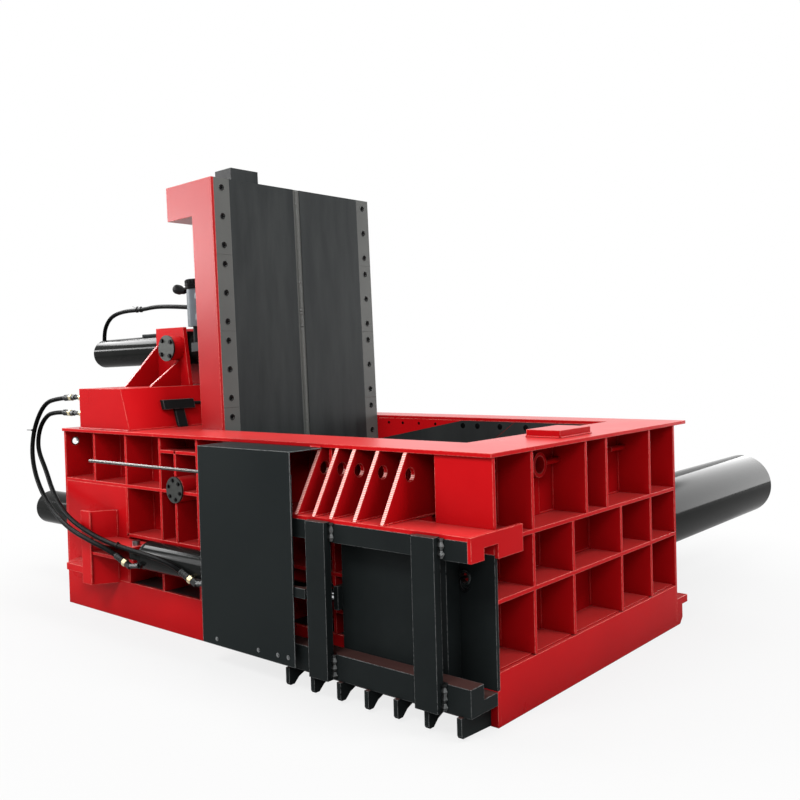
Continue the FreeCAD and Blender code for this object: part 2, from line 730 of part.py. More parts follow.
# ---------------------------------------------------------------- lid, built closed and then swung open

hx = X(hinge_x)
hinge_point = V(hx, 0, hinge_z)


def lid_block(u0, u1, y0, y1, w0, w1):
    return Part.makeBox(u1 - u0, y1 - y0, w1 - w0, V(hx + u0, Y(y0), hinge_z + w0))


def lid_plate(points, y0, y1):
    face = outline([V(hx + u, Y(y0), hinge_z + w) for u, w in points])
    return face.extrude(V(0, y1 - y0, 0))


def lid_round(u, w, y0, y1, radius):
    return Part.makeCylinder(radius, y1 - y0, V(hx + u, Y(y0), hinge_z + w), V(0, 1, 0))


def lid_rod(u0, u1, y, w, radius):
    return Part.makeCylinder(radius, u1 - u0, V(hx + u0, Y(y), hinge_z + w), V(1, 0, 0))


def opened(shape):
    copy = shape.copy()
    copy.rotate(hinge_point, V(0, 1, 0), -lid_open_angle)
    return copy


def save_lid(name, *shapes):
    save(name, *[opened(shape) for shape in shapes])


side = plate
blade_y = (lid_y0 + side, lid_y1 - blade_width)
backing_w = -lid_face + blade_thick
shaft_hole = lid_round(0, 0, 0, frame_depth, hinge_radius)
lid_side_shape = [(0, -lid_face), (lid_reach, -lid_face), (lid_reach, hook_height),
                  (lid_reach - hook_length, hook_height), (lid_reach - hook_length, lid_back), (40, lid_back),
                  (-60, 74), (-75, -lid_face + 10)]
near_flank = lid_plate(lid_side_shape, lid_y0, lid_y0 + side)
# the blades of the far row reach over the far flank's edge
far_flank = lid_plate(lid_side_shape, lid_y1 - side, lid_y1)
far_flank = far_flank.cut(lid_block(-100, lid_reach + 1, lid_y1 - side - 1, lid_y1 + 1, -lid_face - 1,
                                    backing_w))
sides = []
for flank, y in ((near_flank, lid_y0), (far_flank, lid_y1 - side)):
    whole = flank.fuse(lid_round(0, 0, y, y + side, hub_radius)).removeSplitter()
    sides.append(whole.cut(shaft_hole))
save_lid("lid_sides", *sides)

inner0 = lid_y0 + side
inner1 = lid_y1 - side
tongue_room = lid_block(lid_reach - tongue_length - 10, lid_reach + 1, tongue_y - 4,
                        tongue_y + tongue_width + 4,
                        -lid_face + wear_thick, lid_back - plate)
link_low = lock_low - lock_link_low
link_high = lock_low - lock_link_high
bar_front = tongue_y + pull_bar_in
bar_end = bar_front + pull_bar_width
link_slot = lid_block(link_low - lock_travel - 6, link_high + 6, bar_front - 14, bar_end + 14,
                      lid_back - plate - 1,
                      lid_back + 1)
back_sheet = lid_block(hub_radius, lid_reach, inner0, inner1, lid_back - plate, lid_back)
liner_sheet = lid_block(hub_radius, lid_reach, blade_y[0] + blade_width, blade_y[1], -lid_face + wear_thick,
                        -lid_face + wear_thick + plate)
sheet_back = -lid_face + wear_thick + plate
seat_back = backing_w + plate
seats = []
for y0, y1 in ((blade_y[0], blade_y[0] + seat_width), (blade_y[1] + blade_width - seat_width, inner1)):
    seats.append(lid_block(hub_radius, lid_reach, y0, y1, backing_w, seat_back))
end_sheet = lid_block(lid_reach - plate, lid_reach, inner0, inner1, seat_back, lid_back - plate)
foot_sheet = lid_block(hub_radius, hub_radius + plate, inner0, inner1, seat_back, lid_back - plate)
stiffeners = [end_sheet.cut(tongue_room), foot_sheet]
for y in (tongue_y - 4 - plate, tongue_y + tongue_width + 4, mid_y, lid_cyl_ys[1]):
    stiffeners.append(lid_block(hub_radius + plate, lid_reach - plate, y, y + plate, sheet_back,
                                lid_back - plate))
save_lid("lid_frame_plates", back_sheet.cut(link_slot), liner_sheet.cut(tongue_room), *(seats + stiffeners))
head = lid_block(lid_reach - hook_length, lid_reach, inner0, inner1, lid_back, hook_height)
head = head.cut(lid_block(lid_reach - hook_length + plate, lid_reach - plate, inner0 + 1, inner1 - 1,
                          lid_back + plate, hook_height - plate))
save_lid("lid_head_beam", head)

# wear plates, and shear blades with the hexagon sockets of their bolts
wear_y0 = blade_y[0] + blade_width
wear_y1 = blade_y[1]
half_strip = centre_strip / 2
save_lid("lid_wear_plates",
         lid_block(hub_radius, lid_reach, wear_y0, mid_y - half_strip, -lid_face, -lid_face + wear_thick),
         lid_block(hub_radius, lid_reach, mid_y + half_strip, wear_y1, -lid_face, -lid_face + wear_thick))
save_lid("lid_centre_strip",
         lid_block(hub_radius, lid_reach, mid_y - half_strip, mid_y + half_strip, -lid_face + 4,
                   -lid_face + wear_thick))
blade_length = (lid_reach + 15.0) / blade_count
hole_pitch = (blade_length - 2 * blade_margin) / 2
blades = []
for y in blade_y:
    for number in range(blade_count):
        u = lid_reach - blade_length * (number + 1)
        blade = lid_block(u, u + blade_length, y, y + blade_width, -lid_face, backing_w)
        if u < hub_radius:
            blade = blade.cut(lid_round(0, 0, y - 1, y + blade_width + 1, hub_radius + 1))
        for hole in range(3):
            at = u + blade_margin + hole_pitch * hole
            if at < hub_radius + 2 * blade_socket:
                continue
            face_point = V(hx + at, Y(y + blade_width / 2), hinge_z - lid_face - 1)
            blade = blade.cut(prism(face_point, face_point + V(0, 0, socket_depth + 1), blade_socket, 6))
        blades.append(blade)
save_lid("lid_blades", *blades)

save_lid("lid_hinge_shaft", lid_round(0, 0, 5, frame_depth - plate - 12, hinge_radius))

ears = []
for y in lid_cyl_ys:
    for side_sign in (-1, 1):
        a = y + side_sign * ear_gap / 2
        b = a + side_sign * ear_thick
        ear = lid_plate([(lug_u - ear_foot / 2, lid_back), (lug_u + ear_foot / 2, lid_back),
                         (lug_u + ear_top / 2, lug_w + ear_rise), (lug_u - ear_top / 2, lug_w + ear_rise)],
                        min(a, b), max(a, b))
        ear = ear.fuse(lid_round(lug_u, lug_w, min(a, b), max(a, b), eye_radius + 4))
        stub = a - side_sign * (ear_gap - eye_width - 4) / 2
        ear = ear.fuse(lid_round(lug_u, lug_w, min(a, stub), max(a, stub), pin_radius)).removeSplitter()
        ears.append(ear)
save_lid("lid_ears", *ears)

lock_high = lock_low + lock_cyl_length
lock_barrel = lid_rod(lock_low, lock_high, lock_cyl_y, lock_cyl_w, lock_cyl_radius)
lock_bore = lid_rod(lock_low - 1, lock_high - 20, lock_cyl_y, lock_cyl_w, lock_rod_radius + shaft_clear)
cap_low = V(hx + lock_high, Y(lock_cyl_y), hinge_z + lock_cyl_w)
cap_high = cap_low + V(lock_cap_length, 0, 0)
save_lid("lock_cylinder_cap", prism(cap_low, cap_high, lock_cyl_radius + 4, lock_cap_flats))
lock_feet = []
for u in (lock_low + lock_foot_length, lock_high - 2 * lock_foot_length):
    foot = lid_block(u, u + lock_foot_length, lock_cyl_y - lock_foot_length, lock_cyl_y + lock_foot_length,
                     lid_back, lock_cyl_w)
    lock_feet.append(foot.cut(lid_rod(u - 1, u + lock_foot_length + 1, lock_cyl_y, lock_cyl_w,
                                      lock_cyl_radius)))
save_lid("lock_cylinder", lock_barrel.cut(lock_bore), *lock_feet)

# lock tongue on its pull bar, the link through the lid's back and the rod of the lock cylinder
tongue_back = lid_back - plate - 2
tongue_start = lid_reach - tongue_length + tongue_out
tongue = lid_block(tongue_start, lid_reach + tongue_out, tongue_y, tongue_y + tongue_width,
                   -lid_face + wear_thick + 2, tongue_back)
bar_low = tongue_back - pull_bar_height
link_top = lock_cyl_w + lock_rod_radius + 5
pull_bar = lid_block(link_low, tongue_start, bar_front, bar_end, bar_low, tongue_back)
link = lid_block(link_low, link_high, bar_front, bar_end, bar_low, link_top)
link = link.fuse(lid_block(link_low, link_high, lock_cyl_y - 30, bar_end, lid_back + 10, link_top))
save_lid("lock_tongue", tongue.fuse(pull_bar).fuse(link).removeSplitter())
save_lid("lock_rod", lid_rod(link_high, lock_low + lock_link_high, lock_cyl_y, lock_cyl_w, lock_rod_radius))

# ---------------------------------------------------------------- lid cylinders

ear_now = opened(Part.Vertex(V(hx + lug_u, 0, hinge_z + lug_w))).Point
trunnion = V(X(trunnion_x), 0, trunnion_z)
axis = ear_now - trunnion
reach_now = axis.Length
axis.normalize()


def on_axis(y, along):
    point = trunnion + axis * along
    return V(point.x, Y(y), point.z)


def cylinder_on_axis(y, s0, s1, radius):
    return Part.makeCylinder(radius, s1 - s0, on_axis(y, s0), axis)


def square_on_axis(y, s0, s1, half_width, half_height):
    """Square-edged piece along the lid cylinder's axis."""
    rise = V(-axis.z, 0, axis.x) * half_height
    wide = V(0, half_width, 0)
    start = on_axis(y, s0)
    return outline([start - wide - rise, start + wide - rise, start + wide + rise,
                    start - wide + rise]).extrude(
        axis * (s1 - s0))


barrels = []
rods = []
for y in lid_cyl_ys:
    outward = -1 if y < mid_y else 1
    tube = cylinder_on_axis(y, -lid_cyl_behind, lid_cyl_ahead, lid_cyl_radius)
    near_end = y + outward * (cheek_gap / 2 + cheek_thick + boss_length - 3)
    far_end = y - outward * (cheek_gap / 2 + cheek_thick)
    pin = round_y(min(near_end, far_end), max(near_end, far_end), trunnion_x, trunnion_z, trunnion_radius)
    trunnion_block = square_on_axis(y, -70, 70, cheek_gap / 2 - 2, lid_cyl_radius + 6)
    tube = tube.fuse(trunnion_block).fuse(pin).removeSplitter()
    tube = tube.cut(cylinder_on_axis(y, -lid_cyl_behind + 50, lid_cyl_ahead - 60, lid_cyl_bore))
    barrels.append(tube.cut(cylinder_on_axis(y, 0, lid_cyl_ahead + 1, lid_rod_radius + shaft_clear)))
    rod = cylinder_on_axis(y, -lid_cyl_behind + 60, reach_now - eye_neck, lid_rod_radius)
    rod = rod.fuse(square_on_axis(y, reach_now - eye_neck, reach_now, eye_width / 2, eye_radius))
    rod = rod.fuse(cylinder_on_axis(y, -lid_cyl_behind + 60, -lid_cyl_behind + 60 + piston_thick,
                                    lid_cyl_bore - piston_clear))
    eye_at = on_axis(y, reach_now)
    ring = Part.makeCylinder(eye_radius, eye_width, eye_at - V(0, eye_width / 2, 0), V(0, 1, 0))
    hole = Part.makeCylinder(pin_radius + 1, eye_width + 2, eye_at - V(0, eye_width / 2 + 1, 0), V(0, 1, 0))
    rods.append(rod.fuse(ring).removeSplitter().cut(hole))
save("lid_cylinders", *barrels)
save("lid_rods", *rods)

# ---------------------------------------------------------------- side press: two cylinders and their head

side_barrels = []
side_rods = []
for y in side_ys:
    tube = round_x(side_rear, side_front, y, side_z, side_radius)
    tube = tube.cut(round_x(side_rear - 50, side_front + 50, y, side_z, side_bore))
    side_barrels.append(tube.cut(round_x(side_rear - 60, side_front - 1, y, side_z, side_rod + shaft_clear)))
    start = side_rear - 60
    rod = round_x(start, chamber_left + side_head, y, side_z, side_rod)
    side_rods.append(rod.fuse(round_x(start, start - piston_thick, y, side_z,
                                      side_bore - piston_clear)).removeSplitter())
save("side_cylinders", *side_barrels)
save("side_rods", *side_rods)
head_box = block(chamber_left + side_head, chamber_left, front_wall + ram_gap, chamber_back - ram_gap,
                 floor_z + ram_gap, channel_top - ram_gap)
head_room = block(chamber_left + side_head - 40, chamber_left + 40, front_wall + ram_gap + 25,
                  chamber_back - ram_gap - 25, floor_z + ram_gap + 25, channel_top - ram_gap - 25)
save("side_press_head", head_box.cut(head_room))

# ---------------------------------------------------------------- main press: cylinder, box and head

main_d = channel_offset + channel_width / 2
box_shell = block(channel_left + 25, channel_offset - 25, frame_depth, ram_box_back, floor_z - 25,
                  channel_top + 25)
box_shell = box_shell.cut(block(channel_left, channel_offset, frame_depth - 1, ram_box_back + 1, floor_z,
                                channel_top))
flange = block(channel_left + 60, channel_offset - 60, ram_box_back, main_front, floor_z - 40,
               channel_top + 60)
flange = flange.cut(round_y(ram_box_back - 1, main_front + 1, main_d, main_z, main_rod + 20))
save("ram_box", box_shell, flange)
tube = round_y(main_front, main_rear, main_d, main_z, main_radius)
tube = tube.cut(round_y(main_front + 50, main_rear - 50, main_d, main_z, main_bore))
save("main_cylinder", tube.cut(round_y(main_front - 1, main_rear - 60, main_d, main_z,
                                       main_rod + shaft_clear)))
rod_back = main_rear - 60
rod = round_y(chamber_back + main_head, rod_back, main_d, main_z, main_rod)
rod = rod.fuse(round_y(rod_back - piston_thick, rod_back, main_d, main_z,
                       main_bore - piston_clear)).removeSplitter()
save("main_rod", rod)
head_box = block(channel_left - ram_gap, channel_offset + ram_gap, chamber_back, chamber_back + main_head,
                 floor_z + ram_gap, channel_top - ram_gap)
head_room = block(channel_left - ram_gap - 30, channel_offset + ram_gap + 30, chamber_back + 50,
                  chamber_back + main_head - 40, floor_z + ram_gap + 30, channel_top - ram_gap - 30)
save("main_press_head", head_box.cut(head_room))

# ---------------------------------------------------------------- hoses and their fittings
# Routes are points on the hose's way; every bend is a tangent arc as large as its two runs allow.

def spot(point):
    return V(X(-point[0]), Y(point[1]), point[2])


def hose(name, route):
    points = [spot(point) for point in route]
    edges = []
    start = points[0]
    radii = []
    length = 0.0
    for before, corner, after in zip(points, points[1:], points[2:]):
        way_in = corner - before
        way_out = after - corner
        tangent = 0.45 * min(way_in.Length, way_out.Length)
        way_in.normalize()
        way_out.normalize()
        half_turn = way_in.getAngle(way_out) / 2
        radius = tangent / math.tan(half_turn)
        inward = way_out - way_in
        inward.normalize()
        enter = corner - way_in * tangent
        leave = corner + way_out * tangent
        middle = corner + inward * (radius / math.cos(half_turn) - radius)
        edges.append(Part.LineSegment(start, enter).toShape())
        edges.append(Part.Arc(enter, middle, leave).toShape())
        length += (enter - start).Length + radius * 2 * half_turn
        radii.append(round(radius))
        start = leave
    edges.append(Part.LineSegment(start, points[-1]).toShape())
    length += (points[-1] - start).Length
    corners = regular(points[0], points[1] - points[0], hose_radius, hose_sides)
    section = Part.makePolygon(corners + corners[:1])
    sweep = Part.BRepOffsetAPI.MakePipeShell(Part.Wire(edges))
    sweep.add(section)
    sweep.build()
    sweep.makeSolid()
    tube = sweep.shape()
    save(name, tube)
    expected = hose_sides / 2 * hose_radius ** 2 * math.sin(math.tau / hose_sides) * length
    print(name, "length", round(length), "radii", radii, "volume ratio", round(tube.Volume / expected, 4))


def fitting(points, radii):
    """Steel fitting along a few points: hexagon adaptors, then the ferrule with its eight crimped flats."""
    pieces = []
    last = len(radii) - 1
    for number, (a, b, radius) in enumerate(zip(points, points[1:], radii)):
        lap = b - a
        lap.normalize()
        start = a if number == 0 else a - lap * (radius / 2)
        pieces.append(prism(start, b, radius, 8 if number == last else 6))
    return joined(pieces)


def ferrule_start(route, at_end=False, long=ferrule_length):
    """Far end of the ferrule, in line with the hose's end run."""
    end, inner = (route[-1], route[-2]) if at_end else (route[0], route[1])
    way = spot(end) - spot(inner)
    way.normalize()
    return spot(end) + way * long


upper_route = [(-3760, 80, 1463), (-3920, 82, 1455), (-4090, 62, 1420), (-4177, 20, 1237),
               (-4152, -20, 1031), (-3972, -72, 838),
               (-3672, -135, 686), (-3310, -212, 604), (-3018, -226, 553), (-2806, -214, 514), (-2695, -202,
                                                                                                466)]
lower_route = [(-3780, 80, 1353), (-3880, 82, 1354), (-3985, 80, 1347), (-4063, 72, 1332),
               (-4141, 58, 1258), (-4165, 42, 1154), (-4128, 25, 1054),
               (-3956, -14, 934), (-3758, -76, 800), (-3430, -163, 662), (-2975, -182, 557), (-2540, -198,
                                                                                              535),
               (-2300, -206, 524), (-2170, -203, 503), (-2090, -199, 476), (-2030, -195, 450)]
lid_route = [(-4366, 750, 1865), (-4366, 750, 1958), (-4309, 750, 2040), (-4218, 749, 2092),
             (-4050, 746, 2116),
             (-3793, 735, 2114), (-3610, 720, 2125), (-3418, 700, 2118), (-3127, 670, 2097), (-2940, 655,
                                                                                              2078),
             (-2850, 655, 2020), (-2824, 671, 1950)]
hose("hose_upper", upper_route)
hose("hose_lower", lower_route)
hose("hose_lid", lid_route)

port_face = beam_left + plate
port_block = block(port_face, beam_left, port_front, port_back, frame_height + port_low,
                   frame_height + port_high)
frame_fittings = [port_block]
for route, z in ((upper_route, 1464), (lower_route, 1353)):
    port_at = V(X(port_face), Y(80), z)
    frame_fittings.append(fitting([port_at, V(X(port_face + 30), Y(80), z), ferrule_start(route),
                                   spot(route[0])],
                                  [26, 16, ferrule_radius]))
for route, d in ((upper_route, gate_cyl_rear - 32), (lower_route, gc_front + 30)):
    port_at = V(X(d), Y(gate_cyl_y - gate_cyl_radius + 6), gate_cyl_z - 34)
    knee = V(X(d), Y(gate_cyl_y - gate_cyl_radius - 14), gate_cyl_z - 40)
    whole = fitting([port_at, knee, ferrule_start(route, True), spot(route[-1])], [22, 16, ferrule_radius])
    frame_fittings.append(whole.cut(round_x(gate_cyl_rear, gc_front, gate_cyl_y, gate_cyl_z,
                                            gate_cyl_radius)))
save("hose_fittings", *frame_fittings)

tail_port = on_axis(lid_cyl_ys[0], -lid_cyl_behind) + V(1, 0, 30)
tail_knee = V(spot(lid_route[0]).x, tail_port.y, tail_port.z)
head_port = on_axis(lid_cyl_ys[0], lid_cyl_ahead - 40) + V(0, -50, 92)
tail_fitting = fitting([tail_port, tail_knee, spot(lid_route[0])], [16, ferrule_radius])
head_fitting = fitting([head_port, ferrule_start(lid_route, True, 25), spot(lid_route[-1])],
                       [16, ferrule_radius])
lid_fittings = [piece.cut(barrels[0]) for piece in (tail_fitting, head_fitting)]
save("lid_hose_fittings", *lid_fittings)
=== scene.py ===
import math

import bmesh
import bpy
from mathutils import Matrix, Vector


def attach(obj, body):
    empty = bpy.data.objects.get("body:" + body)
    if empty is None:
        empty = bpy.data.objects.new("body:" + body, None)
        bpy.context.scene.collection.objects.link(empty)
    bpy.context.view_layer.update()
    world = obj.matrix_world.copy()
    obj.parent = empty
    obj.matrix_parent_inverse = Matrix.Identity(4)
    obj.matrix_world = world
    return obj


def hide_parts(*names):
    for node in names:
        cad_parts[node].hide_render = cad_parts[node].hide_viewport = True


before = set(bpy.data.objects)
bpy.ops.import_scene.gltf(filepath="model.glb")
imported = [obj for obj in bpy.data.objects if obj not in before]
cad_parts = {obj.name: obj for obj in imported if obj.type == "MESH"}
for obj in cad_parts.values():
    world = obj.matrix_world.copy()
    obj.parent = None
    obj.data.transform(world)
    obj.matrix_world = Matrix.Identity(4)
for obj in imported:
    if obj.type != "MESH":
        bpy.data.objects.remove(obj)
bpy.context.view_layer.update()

# ---------------------------------------------------------------- camera
# The machine is seen from the front right, at a standing person's eye height, through a 41 mm lens.
# The picture's principal point lies a little above its middle, hence the small shift.


def placed(name, data):
    """Puts data into the scene as an object at the origin."""
    item = bpy.data.objects.new(name, data)
    bpy.context.scene.collection.objects.link(item)
    return item


camera_data = bpy.data.cameras.new("camera")
camera_data.sensor_width = 36.0
camera_data.lens = 40.98
camera_data.shift_y = -0.0288
camera_data.clip_end = 100.0
camera = placed("camera", camera_data)
eye = (4.20814, -4.33838, 1.69768)
yaw, pitch, roll = math.radians(40.59), math.radians(-1.30), math.radians(-1.54)
ahead = Vector((-math.sin(yaw) * math.cos(pitch), math.cos(yaw) * math.cos(pitch), math.sin(pitch)))
level = Vector((math.cos(yaw), math.sin(yaw), 0.0))
upright = level.cross(ahead)
across = level * math.cos(roll) + upright * math.sin(roll)
upward = upright * math.cos(roll) - level * math.sin(roll)
turn = Matrix((across, upward, -ahead)).transposed().to_4x4()
camera.matrix_world = Matrix.Translation(eye) @ turn
bpy.context.scene.camera = camera

# ---------------------------------------------------------------- hoses
# Hydraulic hose, steel braid under a black synthetic rubber cover. The cover was cured in a cloth wrap,
# which leaves a fine weave on it. Crimped steel sleeves hold the ends; nylon ties keep the hoses in place.


def at(d, y, z):
    """Point given in millimetres: left from the frame's right side, back from its front face, up."""
    return Vector((1.855 - d / 1000, -0.97 + y / 1000, z / 1000))


def linear(colour):
    """sRGB hex colour as linear values."""
    parts = [int(colour[i:i + 2], 16) / 255 for i in (1, 3, 5)]
    return tuple(p / 12.92 if p <= 0.04045 else ((p + 0.055) / 1.055) ** 2.4 for p in parts) + (1.0,)


def add(tree, kind, settings=None, links=None):
    """Adds a node with its settings and links; a setting is a property or an input of the node."""
    made = tree.nodes.new(kind)
    for name, value in (settings or {}).items():
        if isinstance(name, str) and hasattr(made, name):
            setattr(made, name, value)
        else:
            made.inputs[name].default_value = value
    for name, (source, output) in (links or {}).items():
        tree.links.new(source.outputs[output], made.inputs[name])
    return made


def spaced(millimetres):
    """Scale of a noise whose clouds or grains lie this far apart."""
    return 1000 / millimetres


def finish_of(name, **values):
    """New material with its tree, principled shader and object coordinates."""
    material = bpy.data.materials.new(name)
    material.use_nodes = True
    tree = material.node_tree
    shader = tree.nodes["Principled BSDF"]
    for socket, value in values.items():
        shader.inputs[socket.replace("_", " ")].default_value = value
    place = add(tree, "ShaderNodeTexCoord")
    return material, tree, shader, place


def wire_up(tree, shader, colour=None, roughness=None, normal=None):
    """Links what varies over the surface to the shader."""
    for name, source in (("Base Color", colour), ("Roughness", roughness), ("Normal", normal)):
        if source:
            tree.links.new(source.outputs[0], shader.inputs[name])


def clouded(name, apart, detail, dark, pale, low, high, **values):
    """Finish whose tone and roughness drift together, in clouds that lie so many millimetres apart."""
    material, tree, shader, place = finish_of(name, **values)
    clouds = add(tree, "ShaderNodeTexNoise", {"Scale": spaced(apart), "Detail": detail},
                 {"Vector": (place, "Object")})
    tone = add(tree, "ShaderNodeMixRGB", {1: linear(dark), 2: linear(pale)}, {0: (clouds, "Fac")})
    dull = add(tree, "ShaderNodeMapRange", {"To Min": low, "To Max": high}, {"Value": (clouds, "Fac")})
    wire_up(tree, shader, tone, dull)
    return material


def dress(material, *names):
    """Gives CAD nodes their finish."""
    for name in names:
        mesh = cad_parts[name].data
        mesh.materials.clear()
        mesh.materials.append(material)


# vulcanised rubber: deep black with a soft shine, broken by the weave and by dust in clouds of 110 mm
hose_cover, tree, shader, place = finish_of("wrapped_rubber_cover", Specular_IOR_Level=0.02)
# the cloth's threads are 1.2 mm wide; they are drawn 5 mm apart so that they show
weave = add(tree, "ShaderNodeTexWave", {"Scale": 70.0, "Distortion": 1.5, "bands_direction": "DIAGONAL"},
            {"Vector": (place, "Object")})
dust = add(tree, "ShaderNodeTexNoise", {"Scale": spaced(111), "Detail": 5.0}, {"Vector": (place, "Object")})
tone = add(tree, "ShaderNodeMixRGB", {1: linear("#030303"), 2: linear("#0C0D0D")}, {0: (dust, "Fac")})
dull = add(tree, "ShaderNodeMapRange", {"To Min": 0.26, "To Max": 0.40}, {"Value": (dust, "Fac")})
cloth = add(tree, "ShaderNodeBump", {"Strength": 0.2, "Distance": 0.0005}, {"Height": (weave, "Fac")})
wire_up(tree, shader, tone, dull, cloth)


def bent(name, route, radius, steps, sides):
    """Round hose or bar along a route of points, with closed ends."""
    line = bpy.data.curves.new(name, "CURVE")
    line.dimensions = "3D"
    line.resolution_u = steps
    line.bevel_depth = radius
    line.bevel_resolution = sides
    line.use_fill_caps = True
    spline = line.splines.new("NURBS")
    spline.points.add(len(route) - 1)
    for point, (d, y, z) in zip(spline.points, route):
        point.co = (*at(d, y, z), 1.0)
    spline.order_u = 3
    spline.use_endpoint_u = True
    return placed(name, line)


hose_radius = 0.016
upper_route = [(3760, 80, 1463), (3920, 82, 1455), (4090, 62, 1420), (4177, 20, 1237), (4152, -20, 1031),
               (3972, -72, 838), (3672, -135, 686), (3310, -212, 604), (3018, -226, 553), (2806, -214, 514),
               (2695, -202, 466)]
lower_route = [(3780, 80, 1353), (3880, 82, 1354), (3985, 80, 1347), (4063, 72, 1332), (4141, 58, 1258),
               (4165, 42, 1154), (4128, 25, 1054), (3956, -14, 934), (3758, -76, 800), (3430, -163, 662),
               (2975, -182, 557), (2540, -198, 535), (2300, -206, 524), (2170, -203, 503), (2090, -199, 476),
               (2030, -195, 450)]
lid_route = [(4366, 750, 1865), (4366, 750, 1958), (4309, 750, 2040), (4218, 749, 2092), (4050, 746, 2116),
             (3793, 735, 2114), (3610, 720, 2125), (3418, 700, 2118), (3127, 670, 2097), (2940, 655, 2078),
             (2850, 655, 2020), (2824, 671, 1950)]
for name, node, route, body, length in (("upper_hose", "hose_upper", upper_route, "frame", 2.350),
                                        ("lower_hose", "hose_lower", lower_route, "frame", 2.847),
                                        ("lid_hose", "hose_lid", lid_route, "lid_cylinder", 1.757)):
    hose = bent(name, route, hose_radius, 14, 5)
    hose.data.materials.append(hose_cover)
    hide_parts(node)
    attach(hose, body)


def keep(name, mesh, material, body, smooth_under=35.0):
    """Makes a mesh a piece of the object that rides on a body."""
    if material:
        mesh.materials.clear()
        mesh.materials.append(material)
    piece = placed(name, mesh)
    mesh.shade_smooth()
    mesh.set_sharp_from_angle(angle=math.radians(smooth_under))
    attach(piece, body)
    return piece


def turned(form, start, way, profile, sides=32, bored=False):
    """Adds a turned solid to a form: the profile gives (distance along the way, radius) in millimetres."""
    way = way.normalized()
    wide = way.orthogonal().normalized()
    rise = way.cross(wide)
    rings = []
    for along, radius in profile:
        centre = start + way * (along / 1000)
        ring = []
        for number in range(sides):
            angle = math.tau * number / sides
            spoke = wide * math.cos(angle) + rise * math.sin(angle)
            ring.append(form.verts.new(centre + spoke * (radius / 1000)))
        rings.append(ring)
    following_rings = rings[1:] + (rings[:1] if bored else [])
    for ring, following in zip(rings, following_rings):
        for number in range(sides):
            other = (number + 1) % sides
            form.faces.new((ring[number], ring[other], following[other], following[number]))
    if not bored:
        form.faces.new(list(reversed(rings[0])))
        form.faces.new(rings[-1])


def finished(name, form, material, body, smooth_under=35.0):
    """Closes a form: outward normals, then a mesh that rides on a body."""
    bmesh.ops.recalc_face_normals(form, faces=form.faces)
    mesh = bpy.data.meshes.new(name)
    form.to_mesh(mesh)
    form.free()
    return keep(name, mesh, material, body, smooth_under)


# phosphated steel: dark grey with a dim metal sheen; the film clouds every 17 mm
crimped_steel = clouded("phosphated_crimped_steel", 16.7, 4.0, "#1C1D1E", "#3A3B3B", 0.30, 0.50, Metallic=1.0)
# zinc under a yellow chromate film: pale straw metal with clouds 25 mm apart
yellow_zinc = clouded("yellow_chromated_zinc", 25, 3.0, "#B4A06A", "#D9D2B8", 0.22, 0.38, Metallic=1.0)
dress(crimped_steel, "hose_fittings", "lid_hose_fittings")

# a crimped sleeve has pressed bands with narrow collars between; it laps 60 mm over the hose
sleeve_profile = [(0, 17), (0, 21.5), (6, 22.5), (10, 22.5), (12, 20.5), (22, 20.5), (24, 22), (28, 22),
                  (30, 20.5), (40, 20.5), (42, 22), (46, 22), (48, 20.5), (58, 20.5), (60, 22.5), (70, 22.5),
                  (72, 18), (72, 16.2)]
nut_profile = [(0, 15), (0, 22), (3, 25), (27, 25), (30, 22), (30, 15)]
frame_ends = [(route[end], route[inner]) for end, inner in ((0, 1), (-1, -2))
              for route in (upper_route, lower_route)]
for name, body, ends in (("hose", "frame", frame_ends),
                         ("lid_hose", "lid_cylinder", [(lid_route[-1], lid_route[-2])])):
    sleeves = bmesh.new()
    nuts = bmesh.new()
    for end, inner in ends:
        out = (at(*end) - at(*inner)).normalized()
        turned(sleeves, at(*end) - out * 0.060, out, sleeve_profile, 24)
        turned(nuts, at(*end) + out * 0.014, out, nut_profile, 6)
    finished(name + "_sleeves", sleeves, crimped_steel, body)
    finished(name + "_nuts", nuts, yellow_zinc, body, 20.0)

# moulded nylon: even satin black, with the mould's spark grain of 1 mm drawn at 3.3 mm so that it shows
nylon = clouded("black_moulded_nylon", 3.333, 2.0, "#0A0A0B", "#161617", 0.36, 0.36, Specular_IOR_Level=0.04)


def tie_round(form, centre, way, radius, width=9.0):
    """Cable tie: a flat band round a hose, with its square lock and a cut tail."""
    way = way.normalized()
    turned(form, centre - way * (width / 2000), way,
           [(0, radius), (0, radius + 1.2), (0.6, radius + 1.8), (width - 0.6, radius + 1.8),
            (width, radius + 1.2), (width, radius)], 28)
    up = (Vector((0, 0, 1)) - way * way.z).normalized()
    aside = way.cross(up)
    lock = centre + up * ((radius + 4) / 1000)
    for corner in bmesh.ops.create_cube(form, size=1.0)["verts"]:
        x, y, z = corner.co
        corner.co = lock + way * (x * 0.011) + aside * (y * 0.010) + up * (z * 0.007)
    for corner in bmesh.ops.create_cube(form, size=1.0)["verts"]:
        x, y, z = corner.co
        corner.co = lock + aside * (0.022 + y * 0.034) + way * (x * 0.005) + up * (z * 0.0016 + y * 0.012)


for name, body, spots in (("lid_hose_ties", "lid_cylinder", ((lid_route[4], lid_route[5], 0.72),
                                                            (lid_route[4], lid_route[5], 0.95))),
                          ("hose_ties", "frame", ((upper_route[3], upper_route[4], 0.1),
                                                  (lower_route[10], lower_route[11], 0.5)))):
    ties = bmesh.new()
    for first, second, share in spots:
        along = at(*second) - at(*first)
        tie_round(ties, at(*first) + along * share, along, 18.0)
    finished(name, ties, nylon, body)
